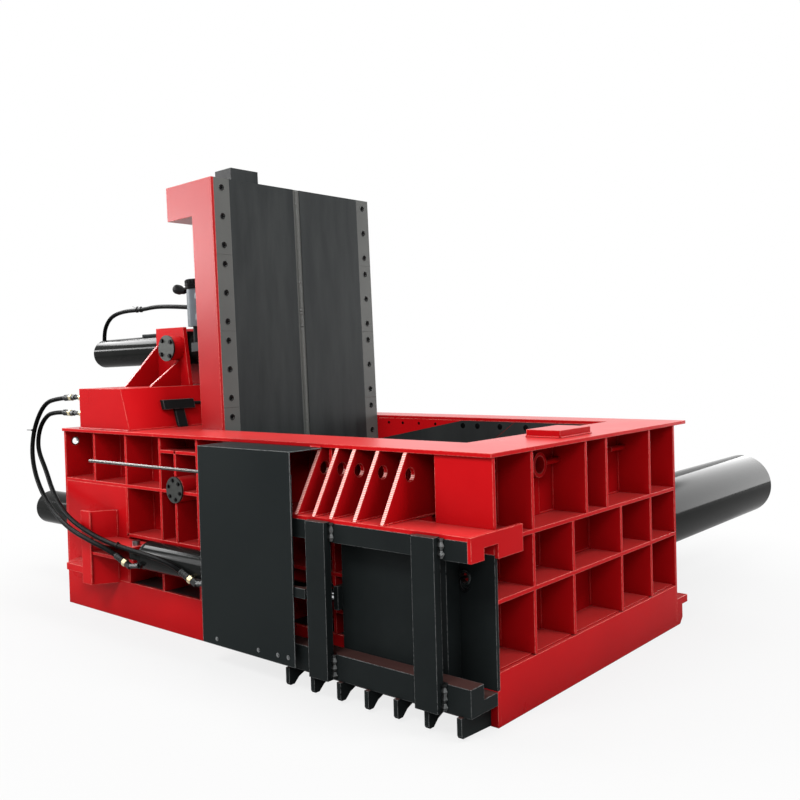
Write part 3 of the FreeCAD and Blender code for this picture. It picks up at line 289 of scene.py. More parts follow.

# ---------------------------------------------------------------- welded frame
# Ribbed box of 20 mm steel plate, cut by flame, welded and sprayed with red enamel in one go.
# The enamel is glossy with a slight orange peel; level faces gather dust, edges are painted a little lighter
# as wear and as painted highlight, and inner corners darker as painted shade.


def worn_and_highlit_edges(tree, place, radius, apart, least):
    """Rounded normal of a plate's edges, how far they are painted pale as wear and as painted highlight, and
    the specks it wears by.
    """
    rounded = add(tree, "ShaderNodeBevel", {"samples": 4, "Radius": radius})
    flat = add(tree, "ShaderNodeNewGeometry")
    corner = add(tree, "ShaderNodeVectorMath", {"operation": "DOT_PRODUCT"},
                 {0: (rounded, "Normal"), 1: (flat, "Normal")})
    edge = add(tree, "ShaderNodeMapRange", {"From Min": 0.995, "From Max": 0.88},
               {"Value": (corner, "Value")})
    speckle = add(tree, "ShaderNodeTexNoise", {"Scale": spaced(apart), "Detail": 6.0, "Roughness": 0.7},
                  {"Vector": (place, "Object")})
    chips = add(tree, "ShaderNodeMapRange", {"From Min": least, "From Max": least + 0.16},
                {"Value": (speckle, "Fac")})
    # only edges that stand out by 30 mm are rubbed and given the painted highlight, not the inner corners
    open_air = add(tree, "ShaderNodeAmbientOcclusion", {"samples": 6, "Distance": 0.03})
    outer = add(tree, "ShaderNodeMapRange", {"From Min": 0.80, "From Max": 0.97}, {"Value": (open_air, "AO")})
    rubbed = add(tree, "ShaderNodeMath", {"operation": "MULTIPLY"}, {0: (edge, 0), 1: (chips, 0)})
    worn_and_highlit = add(tree, "ShaderNodeMath", {"operation": "MULTIPLY"}, {0: (rubbed, 0), 1: (outer, 0)})
    return rounded, worn_and_highlit, speckle


# alkyd enamel over welded plate: a full red with a wet shine where it lies level, made deeper in the corners
# by painted shade
red_enamel, tree, shader, place = finish_of("red_enamel_on_steel_plate")
# the spray passes differ in tone over some 590 mm
patches = add(tree, "ShaderNodeTexNoise", {"Scale": spaced(588), "Detail": 5.0, "Roughness": 0.6},
              {"Vector": (place, "Object")})
# orange peel of 2 mm, drawn at 3.8 mm so that it shows, over plate that the welds pulled every 250 mm
peel = add(tree, "ShaderNodeTexNoise", {"Scale": spaced(3.846), "Detail": 2.0}, {"Vector": (place, "Object")})
waves = add(tree, "ShaderNodeTexNoise", {"Scale": spaced(250), "Detail": 1.0}, {"Vector": (place, "Object")})
# edges rounded by 6 mm, painted pale in specks of 18 mm, as wear and as painted highlight
rounded, worn_and_highlit, speckle = worn_and_highlit_edges(tree, place, 0.006, 18.18, 0.36)
plate_normal = add(tree, "ShaderNodeNewGeometry")
coat = add(tree, "ShaderNodeMixRGB", {1: linear("#A30A10"), 2: linear("#BE1116")}, {0: (patches, "Fac")})
# painted shade darkens the inner corners over some 200 mm
shade_occlusion = add(tree, "ShaderNodeAmbientOcclusion", {"samples": 6, "Distance": 0.25})
painted_shade_mask = add(tree, "ShaderNodeMapRange", {"From Min": 0.15, "From Max": 0.95, "To Min": 0.60, "To Max": 0.0},
            {"Value": (shade_occlusion, "AO")})
painted_corner_shade = add(tree, "ShaderNodeMixRGB", {2: linear("#5E0408")}, {0: (painted_shade_mask, 0), 1: (coat, 0)})
facing = add(tree, "ShaderNodeSeparateXYZ", {}, {0: (plate_normal, "Normal")})
level_face = add(tree, "ShaderNodeMapRange", {"From Min": 0.75, "From Max": 1.0, "To Max": 0.14},
                 {"Value": (facing, "Z")})
settled = add(tree, "ShaderNodeMath", {"operation": "MULTIPLY"}, {0: (level_face, 0), 1: (speckle, "Fac")})
level_faces_tinted = add(tree, "ShaderNodeMixRGB", {2: linear("#A8877D")}, {0: (settled, 0), 1: (painted_corner_shade, 0)})
scuffed_and_highlit = add(tree, "ShaderNodeMixRGB", {2: linear("#E07C72")}, {0: (worn_and_highlit, 0), 1: (level_faces_tinted, 0)})
sheen = add(tree, "ShaderNodeMapRange", {"To Min": 0.22, "To Max": 0.38}, {"Value": (patches, "Fac")})
soft_bump = add(tree, "ShaderNodeBump", {"Strength": 0.25, "Distance": 0.004},
                {"Height": (waves, "Fac"), "Normal": (rounded, "Normal")})
fine_bump = add(tree, "ShaderNodeBump", {"Strength": 0.12, "Distance": 0.0004},
                {"Height": (peel, "Fac"), "Normal": (soft_bump, 0)})
# the sprayed film runs out smoother on level faces than on upright ones
film = add(tree, "ShaderNodeMapRange", {"From Min": 0.2, "From Max": 0.9, "To Min": 0.04, "To Max": 0.42},
           {"Value": (facing, "Z")})
film.name, coat.name = "film", "coat"
tree.links.new(film.outputs[0], shader.inputs["Specular IOR Level"])
wire_up(tree, shader, scuffed_and_highlit, sheen, fine_bump)
dress(red_enamel, "base_frame", "front_ribs", "front_face_plates", "side_ribs", "wall_pipes",
      "left_end_plates", "flange_front", "flange_right", "flange_back", "deck_left", "ram_box",
      "bearing_housings", "front_wall_plates", "back_wall_plates", "right_wall_plates")


def piece_tree(name, given, sizes, result):
    """New geometry tree with the sockets for what it is given, its sizes, its material and its result."""
    made = bpy.data.node_groups.new(name, "GeometryNodeTree")
    made.interface.new_socket(given, in_out="INPUT", socket_type="NodeSocketGeometry")
    for size, value in sizes.items():
        kind = "NodeSocketInt" if isinstance(value, int) else "NodeSocketFloat"
        made.interface.new_socket(size, in_out="INPUT", socket_type=kind).default_value = value
    made.interface.new_socket("Material", in_out="INPUT", socket_type="NodeSocketMaterial")
    made.interface.new_socket(result, in_out="OUTPUT", socket_type="NodeSocketGeometry")
    return made, add(made, "NodeGroupInput")


def bead_tree():
    """Weld bead along the edges of a mesh: a round seam whose thickness ripples with every pool of metal."""
    made, given = piece_tree("weld_bead", "Seams", {"Throat": 0.006, "Ripple": 0.010, "Swell": 0.28}, "Beads")
    step = add(made, "ShaderNodeMath", {"operation": "MULTIPLY", 1: 0.5}, {0: (given, "Ripple")})
    line = add(made, "GeometryNodeMeshToCurve", {}, {"Mesh": (given, "Seams")})
    fine = add(made, "GeometryNodeResampleCurve", {"mode": "LENGTH"},
               {"Curve": (line, 0), "Length": (step, 0)})
    index = add(made, "GeometryNodeInputIndex")
    pool = add(made, "ShaderNodeMath", {"operation": "MODULO", 1: 2.0}, {0: (index, 0)})
    chance = add(made, "FunctionNodeRandomValue", {"data_type": "FLOAT", 2: 0.75, 3: 1.05, "Seed": 7})
    swell = add(made, "ShaderNodeMath", {"operation": "MULTIPLY_ADD"},
                {0: (pool, 0), 1: (given, "Swell"), 2: (chance, 1)})
    section = add(made, "GeometryNodeCurvePrimitiveCircle", {"Resolution": 6}, {"Radius": (given, "Throat")})
    bead = add(made, "GeometryNodeCurveToMesh", {"Fill Caps": True},
               {"Curve": (fine, 0), "Profile Curve": (section, 0), "Scale": (swell, 0)})
    whole = add(made, "GeometryNodeRealizeInstances", {}, {0: (bead, 0)})
    done = add(made, "GeometryNodeSetMaterial", {}, {"Geometry": (whole, 0), "Material": (given, "Material")})
    add(made, "NodeGroupOutput", {}, {"Beads": (done, 0)})
    return made


def grown(name, mesh, tree, values, body, smooth_under=40.0):
    """Runs a geometry tree on a mesh and keeps the result as a plain mesh on a body."""
    seed = placed(name + "_seed", mesh)
    modifier = seed.modifiers.new(name, "NODES")
    modifier.node_group = tree
    for socket in tree.interface.items_tree:
        if socket.in_out == "INPUT" and socket.name in values:
            modifier[socket.identifier] = values[socket.name]
    ready = seed.evaluated_get(bpy.context.evaluated_depsgraph_get())
    result = bpy.data.meshes.new_from_object(ready)
    result.name = name
    seed.modifiers.remove(modifier)
    bpy.data.objects.remove(seed)
    return keep(name, result, values["Material"], body, smooth_under)


def seams_mesh(runs):
    """Mesh of separate edges from runs given as pairs of points."""
    mesh = bpy.data.meshes.new("seams")
    points = [tuple(point) for run in runs for point in run]
    mesh.from_pydata(points, [(2 * number, 2 * number + 1) for number in range(len(runs))], [])
    return mesh


weld_bead = bead_tree()


def welded(name, runs, material, body, throat=6, ripple=12, swell=0.28):
    """Weld beads along runs; the throat and the ripple's pitch are in millimetres."""
    grown(name, seams_mesh(runs), weld_bead,
          {"Throat": throat / 1000, "Ripple": ripple / 1000, "Swell": swell, "Material": material},
          body)


seams = []
# ribs of 20 mm stand 382 mm apart along the front, in three rows; a bead runs down both sides of each
left_end, rib_pitch, bead_sides, bead_depth = 3700, 382, (-13, 13), 197
for number in range(1, 8):
    d = left_end - rib_pitch * number
    for low, high in ((900, 1230), (575, 880), (248, 555)):
        # the plain corner plate covers the two lower bays at the left end
        if number == 1 and high < 1000:
            continue
        for side in bead_sides:
            seams += [(at(d + side, bead_depth, low), at(d + side, bead_depth, high)),
                      (at(d + side, 6, high - 3), at(d + side, bead_depth, high - 3))]
# ribs of the right side: other places in the top row than in the two rows below
for rib_places, rows in (((330, 850, 1073, 1597), ((857, 1230),)),
                         ((330, 704, 1228, 1597), ((583, 831), (256, 557)))):
    for y in rib_places:
        for side in bead_sides:
            seams += [(at(bead_depth, y + side, low), at(bead_depth, y + side, high)) for low, high in rows]
for z in (583, 857):
    seams.append((at(bead_depth, 25, z), at(bead_depth, 1915, z)))
# seams that show: plain corner plate, gate cylinder's bracket, pad on the flange, beam's foot
seams += [(at(3052, -3, 265), at(3052, -3, 722)), (at(3140, -153, 250), at(3140, -153, 715)),
          (at(90, 742, 1253), at(295, 742, 1253)), (at(87, 745, 1253), at(87, 1065, 1253)),
          (at(2932, 29, 1253), at(3541, 29, 1253)), (at(2926, 40, 1253), at(2926, 2030, 1253))]
welded("frame_weld_beads", seams, red_enamel, "frame")

# zinc plating: cool grey metal, blooming dull in clouds of 33 mm
zinc = clouded("zinc_plated_steel", 33.33, 5.0, "#66686A", "#9A9C9C", 0.22, 0.42, Metallic=1.0)

# zinc-plated ring in the wire hole of the left end, and the small red tab under the front flange
ring = bmesh.new()
turned(ring, at(3714, 75, 1153), Vector((1, 0, 0)),
       [(0, 23), (0, 44), (2, 46), (3.9, 46), (3.9, 31), (24, 31), (24, 23)], 36, bored=True)
finished("wire_hole_ring", ring, zinc, "frame")


def slab(form, low, high):
    """Adds a rectangular block between two corners to a form."""
    middle = (low + high) / 2
    for corner in bmesh.ops.create_cube(form, size=1.0)["verts"]:
        corner.co = Vector([middle[n] + corner.co[n] * abs(high[n] - low[n]) for n in range(3)])


tab = bmesh.new()
slab(tab, at(1156, -24, 1212), at(1078, -14, 1236))
bmesh.ops.bevel(tab, geom=tab.edges[:], offset=0.002, segments=2, affect="EDGES", profile=0.5)
finished("flange_tab", tab, red_enamel, "frame")

# ---------------------------------------------------------------- press chamber
# The walls that face the scrap carry thin wear sheets of hot-rolled plate, held by flush countersunk
# screws; they start black from the mill and are oiled and rubbed by the scrap.

# mill scale: blue-black and half dull, cloudy over 200 mm and longer upwards, as the scrap rubs it
mill_scale, tree, shader, place = finish_of("hot_rolled_liner_plate", Specular_IOR_Level=0.30)
stretch = add(tree, "ShaderNodeMapping", {"Scale": (1.0, 1.0, 0.35)}, {"Vector": (place, "Object")})
scale_map = add(tree, "ShaderNodeTexNoise", {"Scale": spaced(200), "Detail": 8.0, "Roughness": 0.65},
                {"Vector": (stretch, 0)})
# pits of 3 mm, drawn at 8 mm so that they show
rubbed = add(tree, "ShaderNodeTexNoise", {"Scale": spaced(8.333), "Detail": 3.0},
             {"Vector": (place, "Object")})
tone = add(tree, "ShaderNodeMixRGB", {1: linear("#131516"), 2: linear("#2A2C2C")}, {0: (scale_map, "Fac")})
dull = add(tree, "ShaderNodeMapRange", {"To Min": 0.36, "To Max": 0.60}, {"Value": (scale_map, "Fac")})
rounded = add(tree, "ShaderNodeBevel", {"samples": 4, "Radius": 0.003})
pits = add(tree, "ShaderNodeBump", {"Strength": 0.2, "Distance": 0.0006},
           {"Height": (rubbed, "Fac"), "Normal": (rounded, 0)})
wire_up(tree, shader, tone, dull, pits)
dress(mill_scale, "chamber_floor", "port_sleeves", "side_press_head", "main_press_head")

to_front, to_back = Vector((0, -1, 0)), Vector((0, 1, 0))
to_right, to_left = Vector((1, 0, 0)), Vector((-1, 0, 0))


def sheet_on(form, points, way, thick=0.0012):
    """Adds a thin flat sheet: its outline in space and the side on which it lies."""
    lower = [form.verts.new(point) for point in points]
    upper = [form.verts.new(point + way * thick) for point in points]
    form.faces.new(lower)
    form.faces.new(list(reversed(upper)))
    for number in range(len(points)):
        other = (number + 1) % len(points)
        form.faces.new((lower[number], upper[number], upper[other], lower[other]))


liners_with_shadow_outline = bmesh.new()
low, top, port_top = 262, 1227, 800
# the far wall's left sheet slopes down to the hinge along the lid's shadow, and a slanted gap drawn along the
# lid's mirrored edge parts it from the right sheet: these outlines are painted shadow and painted reflection
sheet_on(liners_with_shadow_outline, [at(2395, 1850, low), at(2395, 1850, 1058), at(1545, 1850, top), at(1102, 1850, top),
                  at(1208, 1850, 1149), at(1500, 1850, 935), at(1500, 1850, low)], to_front)
sheet_on(liners_with_shadow_outline, [at(1496, 1850, low), at(1496, 1850, 935), at(1204, 1850, 1149), at(1098, 1850, top),
                  at(402, 1850, top), at(402, 1850, port_top), at(818, 1850, port_top),
                  at(818, 1850, low)], to_front)
sheet_on(liners_with_shadow_outline, [at(2395, 350, low), at(2395, 350, 1058), at(1545, 350, top), at(1402, 350, top),
                  at(1402, 350, low)], to_back)
sheet_on(liners_with_shadow_outline, [at(1398, 350, low), at(1398, 350, top), at(402, 350, top), at(402, 350, port_top),
                  at(818, 350, port_top), at(818, 350, low)], to_back)
# the right wall's sheets leave the slot of the lock tongue free
for y0, y1, z0, z1 in ((354, 532, 812, 1180), (536, 788, 812, 868), (536, 788, 1072, 1180),
                       (792, 1846, 812, 1180)):
    sheet_on(liners_with_shadow_outline, [at(400, y0, z0), at(400, y0, z1), at(400, y1, z1), at(400, y1, z0)], to_left)
finished("chamber_liners_with_painted_shadow", liners_with_shadow_outline, mill_scale, "frame")


def bolt_tree():
    """Bolt heads with washers on points, each along the point's own way and turned by chance."""
    made, given = piece_tree("bolt_heads", "Places",
                             {"Head Radius": 0.014, "Head Height": 0.010, "Washer Radius": 0.019,
                              "Washer Thickness": 0.003, "Head Sides": 6}, "Bolts")
    washer = add(made, "GeometryNodeMeshCylinder", {"Vertices": 20},
                 {"Radius": (given, "Washer Radius"), "Depth": (given, "Washer Thickness")})
    neck = add(made, "ShaderNodeMath", {"operation": "MULTIPLY", 1: 0.86}, {0: (given, "Head Radius")})
    head = add(made, "GeometryNodeMeshCone", {},
               {"Vertices": (given, "Head Sides"), "Radius Bottom": (given, "Head Radius"),
                "Radius Top": (neck, 0), "Depth": (given, "Head Height")})
    bolt = add(made, "GeometryNodeJoinGeometry")
    made.links.new(washer.outputs[0], bolt.inputs[0])
    made.links.new(head.outputs[0], bolt.inputs[0])
    way = add(made, "GeometryNodeInputNamedAttribute", {"data_type": "FLOAT_VECTOR", "Name": "way"})
    facing = add(made, "FunctionNodeAlignRotationToVector", {"axis": "Z"}, {"Vector": (way, "Attribute")})
    chance = add(made, "FunctionNodeRandomValue", {"data_type": "FLOAT", 2: 0.0, 3: math.tau / 6, "Seed": 11})
    spin = add(made, "FunctionNodeAxisAngleToRotation", {"Axis": (0, 0, 1)}, {"Angle": (chance, 1)})
    turned_so = add(made, "FunctionNodeRotateRotation", {"rotation_space": "LOCAL"},
                    {"Rotation": (facing, 0), "Rotate By": (spin, 0)})
    many = add(made, "GeometryNodeInstanceOnPoints", {},
               {"Points": (given, "Places"), "Instance": (bolt, 0), "Rotation": (turned_so, 0)})
    whole = add(made, "GeometryNodeRealizeInstances", {}, {0: (many, 0)})
    done = add(made, "GeometryNodeSetMaterial", {}, {"Geometry": (whole, 0), "Material": (given, "Material")})
    add(made, "NodeGroupOutput", {}, {"Bolts": (done, 0)})
    return made


def places_mesh(places):
    """Mesh of loose points, each with the way that its bolt stands out."""
    mesh = bpy.data.meshes.new("places")
    mesh.from_pydata([tuple(point) for point, way in places], [], [])
    attribute = mesh.attributes.new("way", "FLOAT_VECTOR", "POINT")
    for number, (point, way) in enumerate(places):
        attribute.data[number].vector = way
    return mesh


bolt_heads = bolt_tree()
# blackened steel: nearly black metal with a dull gleam, uneven every 11 mm
black_bolt = clouded("blackened_bolt_steel", 11.11, 3.0, "#0B0B0C", "#1C1C1D", 0.35, 0.55, Metallic=1.0)


def bolted(name, places, material, body, head, washer, sides=6):
    """Bolts on places: radius and height of the head, radius and thickness of the washer, in millimetres."""
    grown(name, places_mesh(places), bolt_heads,
          {"Head Radius": head[0] / 1000, "Head Height": head[1] / 1000, "Head Sides": sides,
           "Washer Radius": washer[0] / 1000, "Washer Thickness": washer[1] / 1000, "Material": material},
          body)


# screw heads: small ones on the painted strip, large ones on the sheets
small_screws = [(at(d, 1850, 1196), to_front) for d in (2241, 2103, 1946, 1790)]
large_screws = [(at(d, 1848.8, 1191), to_front) for d in (1538, 1411, 1220, 1010, 820, 630, 450)]
large_screws += [(at(d, 1848.8, 300), to_front) for d in range(2300, 900, -280)]
large_screws += [(at(d, 351.2, z), to_back) for d in range(2300, 450, -200) for z in (1000, 840)]
large_screws += [(at(401.2, y, z), to_left) for y in range(900, 1850, 180) for z in (850, 1140)]
bolted("liner_screws_small", small_screws, black_bolt, "frame", (9, 0.6), (11, 0.4), 18)
bolted("liner_screws", large_screws, black_bolt, "frame", (16, 0.6), (20, 0.4), 18)

# ---------------------------------------------------------------- guides and bars of the bale door
# Thick welded angles and flat bars, sprayed with black semi-gloss enamel. They stick out where fork
# trucks pass, so the paint is scraped and greyed along the edges; these grey edges are also a painted
# highlight.

# black enamel: a deep satin black, uneven over 330 mm, with edges painted grey in specks of 14 mm, as wear
# and as painted highlight
black_enamel, tree, shader, place = finish_of("black_enamel_on_steel_bar", Specular_IOR_Level=0.04)
patches = add(tree, "ShaderNodeTexNoise", {"Scale": spaced(333.3), "Detail": 6.0, "Roughness": 0.6},
              {"Vector": (place, "Object")})
rounded, worn_and_highlit, speckle = worn_and_highlit_edges(tree, place, 0.005, 14.29, 0.36)
coat = add(tree, "ShaderNodeMixRGB", {1: linear("#111415"), 2: linear("#1D2121")}, {0: (patches, "Fac")})
facing = add(tree, "ShaderNodeSeparateXYZ", {}, {0: (add(tree, "ShaderNodeNewGeometry"), "Normal")})
level_face = add(tree, "ShaderNodeMapRange", {"From Min": 0.75, "From Max": 1.0, "To Max": 0.55},
                 {"Value": (facing, "Z")})
# level faces are painted brown, a painted reflection of the red frame
level_faces_tinted = add(tree, "ShaderNodeMixRGB", {2: linear("#4B2E2A")}, {0: (level_face, 0), 1: (coat, 0)})
scuffed_and_highlit = add(tree, "ShaderNodeMixRGB", {2: linear("#7C7E7E")}, {0: (worn_and_highlit, 0), 1: (level_faces_tinted, 0)})
sheen = add(tree, "ShaderNodeMapRange", {"To Min": 0.32, "To Max": 0.50}, {"Value": (patches, "Fac")})
fine = add(tree, "ShaderNodeBump", {"Strength": 0.15, "Distance": 0.0005},
           {"Height": (speckle, "Fac"), "Normal": (rounded, 0)})
wire_up(tree, shader, scuffed_and_highlit, sheen, fine)
dress(black_enamel, "gate_guides", "guide_bars", "guide_brackets", "port_face_plate", "gate_plate",
      "track_arm")
dress(red_enamel, "upper_guide_shelf", "gate_cylinder_bracket")

# drawn bar under oil: dark grey metal with a bright line along it; the oil lies in patches of 42 mm
drawn_bar = clouded("oiled_drawn_steel_bar", 41.67, 3.0, "#2A2928", "#4C4A48", 0.20, 0.32, Metallic=1.0)
dress(drawn_bar, "track_rod")

# the gussets' sloping edges were left as the flame cut them; they are painted pale as a painted glare, with
# drag lines of 3 mm that are drawn 8 mm apart so that they show
gusset_enamel_with_glare = red_enamel.copy()
gusset_enamel_with_glare.name = "red_enamel_with_painted_glare_on_cut_edge"
tree = gusset_enamel_with_glare.node_tree
shader = tree.nodes["Principled BSDF"]
enamel_colour_with_painted_light = shader.inputs["Base Color"].links[0].from_node
place = add(tree, "ShaderNodeTexCoord")
plate_normal = add(tree, "ShaderNodeNewGeometry")
cut_way = (0.0, -0.86, 0.51)
slope = add(tree, "ShaderNodeVectorMath", {"operation": "DOT_PRODUCT", 1: cut_way},
            {0: (plate_normal, "Normal")})
# faces along the sloping cut take the painted glare
cut = add(tree, "ShaderNodeMapRange", {"From Min": 0.90, "From Max": 0.96}, {"Value": (slope, "Value")})
ribs = add(tree, "ShaderNodeTexWave",
           {"Scale": 40.0, "Distortion": 2.5, "Detail": 2.0, "bands_direction": "Z"},
           {"Vector": (place, "Object")})
pale = add(tree, "ShaderNodeMixRGB", {1: linear("#C4554E"), 2: linear("#EFC0B8")}, {0: (ribs, "Fac")})
glare_marked = add(tree, "ShaderNodeMixRGB", {}, {0: (cut, 0), 1: (enamel_colour_with_painted_light, 0), 2: (pale, 0)})
tree.links.new(glare_marked.outputs[0], shader.inputs["Base Color"])
dress(gusset_enamel_with_glare, "guide_gussets")

# weld metal in bright grey that stands in for glints on the beads, a painted highlight: scale and bright
# metal in spots of 22 mm
glint_weld_metal = clouded("bright_weld_metal_for_painted_glints", 22.22, 4.0, "#232424", "#7A7C7C", 0.22, 0.40, Metallic=1.0)

# both sides of the two bars, where they cross the lower and the upper guide
bar_seams = []
for bar_right in (152, 840):
    for edge_d in (bar_right - 7, bar_right + 139):
        for z0, z1 in ((112, 235), (795, 888)):
            bar_seams.append((at(edge_d, -208, z0), at(edge_d, -208, z1)))
welded("guide_weld_beads", bar_seams, glint_weld_metal, "frame", 12, 32, 0.8)

# both sides of each gusset, along the shelf and up the front plate
gusset_seams = []
for d in (490, 668, 828, 950, 1076):
    for side in (-3, 25):
        gusset_seams += [(at(d + side, -200, 905), at(d + side, 196, 905)),
                         (at(d + side, 197, 908), at(d + side, 197, 1225))]
welded("gusset_weld_beads", gusset_seams, red_enamel, "frame")

# lifting eye: a ring on the face plate and a round bar bent to a hook through its hole
hook_route = [(166, 14, 667), (166, -22, 672), (163, -46, 668), (156, -52, 645), (150, -44, 622),
              (146, -24, 616), (143, -14, 626)]
hook_line = bent("port_hook_line", hook_route, 0.008, 12, 4)
hook_mesh = bpy.data.meshes.new_from_object(hook_line.evaluated_get(bpy.context.evaluated_depsgraph_get()))
bpy.data.objects.remove(hook_line)
keep("port_hook", hook_mesh, black_bolt, "frame")
eye = bmesh.new()
turned(eye, at(166, 0, 667), to_front,
       [(0, 24), (0, 34), (3, 36), (8, 36), (11, 33), (11, 24)], 32, bored=True)
finished("port_eye_ring", eye, black_enamel, "frame")

# ---------------------------------------------------------------- cover over the open gate
# Box of 5 mm sheet steel, folded and welded, powder coated in black: very even and nearly matt, with
# only a fine grain. Button-head screws hold it to the guides.

# baked polyester powder: flat, even charcoal black that drifts a little over 700 mm
powder_coat, tree, shader, place = finish_of("black_powder_coat", Specular_IOR_Level=0.03)
cloud = add(tree, "ShaderNodeTexNoise", {"Scale": spaced(714), "Detail": 3.0}, {"Vector": (place, "Object")})
# powder grain of about 1 mm, drawn at 3 mm so that it shows
grit = add(tree, "ShaderNodeTexNoise", {"Scale": spaced(3.03), "Detail": 1.0}, {"Vector": (place, "Object")})
tone = add(tree, "ShaderNodeMixRGB", {1: linear("#15191A"), 2: linear("#1E2222")}, {0: (cloud, "Fac")})
dull = add(tree, "ShaderNodeMapRange", {"To Min": 0.44, "To Max": 0.56}, {"Value": (cloud, "Fac")})
# its edges are painted pale grey in specks of 17 mm, as painted highlight and wear
rounded, worn_and_highlit = worn_and_highlit_edges(tree, place, 0.006, 16.67, 0.30)[:2]
scuffed_and_highlit = add(tree, "ShaderNodeMixRGB", {2: linear("#8C8E8E")}, {0: (worn_and_highlit, 0), 1: (tone, 0)})
fine = add(tree, "ShaderNodeBump", {"Strength": 0.15, "Distance": 0.0003},
           {"Height": (grit, "Fac"), "Normal": (rounded, 0)})
wire_up(tree, shader, scuffed_and_highlit, dull, fine)
dress(powder_coat, "gate_cover")

cover_screws = [(at(d, -252, z), to_front) for d, z in ((1352, 167), (1199, 170), (1700, 163), (1120, 172))]
bolted("cover_screws", cover_screws, zinc, "frame", (9, 5), (12, 1.6), 12)

# ---------------------------------------------------------------- cylinders
# Honed seamless steel tube under black lacquer: dark, with the lamps mirrored as bright bands along the
# back. The rods are ground and hard-chromed. Turned rings close both ends of every tube.

# clear black lacquer on a honed tube: a black mirror, with streaks of 110 mm from the wiping
black_lacquer = clouded("black_lacquer_on_honed_tube", 111.1, 4.0, "#0E0F0F", "#181918", 0.08, 0.14,
                        Specular_IOR_Level=0.035)
# hard chrome: bright, slightly cool metal; the oil film on it clouds every 50 mm
hard_chrome = clouded("ground_hard_chrome", 50, 4.0, "#B9BCBE", "#D5D7D8", 0.08, 0.18, Metallic=1.0)
dress(black_lacquer, "main_cylinder", "gate_cylinder", "side_cylinders")
dress(hard_chrome, "gate_rod", "side_rods", "main_rod")
dress(zinc, "gate_cylinder_pin")

rings = bmesh.new()
# gate cylinder: rod gland and a weld collar before the rear eye
turned(rings, at(1720, -92, 490), to_right,
       [(0, 37), (0, 84), (3, 87), (22, 87), (26, 82), (26, 60), (34, 56), (34, 37)], 48, bored=True)
turned(rings, at(2563, -92, 490), to_right, [(0, 60), (0, 88), (3, 91.5), (24, 91.5), (27, 90.5)], 48)
# side press: glands at the right ends and domed rear ends
for y in (500, 1700):
    turned(rings, at(3078, y, 518), to_right,
           [(0, 133), (0, 140), (18, 140), (18, 61), (0, 61)], 56, bored=True)
    turned(rings, at(4870, y, 518), to_right, [(0, 60), (0, 112), (6, 124), (14, 130), (18, 131.5)], 56)
# main press: bolted ring on the box's flange, and a rear end with a rounded edge
turned(rings, at(530, 2340, 520), to_back,
       [(0, 244), (0, 296), (4, 300), (36, 300), (40, 296), (40, 256), (60, 250), (60, 244)], 72, bored=True)
turned(rings, at(530, 4508, 520), to_back, [(0, 244), (10, 238), (20, 226), (26, 206), (26, 60)], 72)
finished("cylinder_end_rings", rings, black_lacquer, "frame", 30.0)


def bolt_ring(centre, way, radius, count, first=0.0):
    """Places of a bolt circle round a centre."""
    wide = Vector((0, 0, 1)) if abs(way.z) < 0.9 else Vector((1, 0, 0))
    aside = way.cross(wide).normalized()
    places = []
    for number in range(count):
        angle = math.tau * number / count + math.radians(first)
        places.append((centre + (wide * math.cos(angle) + aside * math.sin(angle)) * (radius / 1000), way))
    return places


flange_bolts = bolt_ring(at(530, 2380, 520), to_back, 276, 16, 11.25)
for y in (500, 1700):
    flange_bolts += bolt_ring(at(4870, y, 518), to_left, 88, 8, 22.5)
bolted("flange_bolts", flange_bolts, black_bolt, "frame", (16, 13), (19, 4))

# ---------------------------------------------------------------- cross beam, trunnions and lid hinge
# Welded box beam that carries the lid cylinders on plate brackets. Round cast-iron covers close the greased
# pins; four screws hold each trunnion cap and six each hinge cap.

dress(red_enamel, "cross_beam", "trunnion_brackets")
dress(black_enamel, "lid_switch_bracket")
dress(zinc, "lid_hinge_shaft")

# bare machined cast iron: mottled dark grey with a rough sheen; the graphite shows in flecks of 1 mm,
# drawn 22 mm apart so that they show
cast_iron, tree, shader, place = finish_of("machined_cast_iron", Metallic=0.85)
mottle = add(tree, "ShaderNodeTexNoise", {"Scale": spaced(22.22), "Detail": 7.0, "Roughness": 0.75},
             {"Vector": (place, "Object")})
tone = add(tree, "ShaderNodeMixRGB", {1: linear("#1C1E1E"), 2: linear("#4A4C49")}, {0: (mottle, "Fac")})
dull = add(tree, "ShaderNodeMapRange", {"To Min": 0.40, "To Max": 0.62}, {"Value": (mottle, "Fac")})
cast_bump = add(tree, "ShaderNodeBump", {"Strength": 0.3, "Distance": 0.0008}, {"Height": (mottle, "Fac")})
wire_up(tree, shader, tone, dull, cast_bump)
dress(cast_iron, "bearing_caps")

cap_bolts = (bolt_ring(at(3165, 503, 1800), to_front, 70, 4, 38)
             + bolt_ring(at(3165, 1697, 1800), to_back, 70, 4, 38))
bolted("trunnion_cap_bolts", cap_bolts, black_bolt, "frame", (16, 12), (18, 2))
hinge_bolts = bolt_ring(at(2395, -12, 905), to_front, 60, 6, 12)
bolted("hinge_cap_bolts", hinge_bolts, black_bolt, "frame", (11, 8), (14, 2))

# brass-coloured adaptors where the gate's hoses leave the beam
adaptors = bmesh.new()
for z in (1464, 1353):
    turned(adaptors, at(3561, 80, z), to_left, [(0, 15), (0, 30), (3, 32), (16, 32), (19, 28), (19, 20)], 24)
    turned(adaptors, at(3582, 80, z), to_left, nut_profile, 6)
finished("port_adaptors", adaptors, yellow_zinc, "frame", 25.0)

# ---------------------------------------------------------------- lid
# Hollow welded lid with a hooked head. Its face carries hot-rolled wear plates, a narrow centre strip with
# a rough weld down it, and two rows of ground shear blades held by socket screws; sides and back are red.

swing = math.radians(91.5)


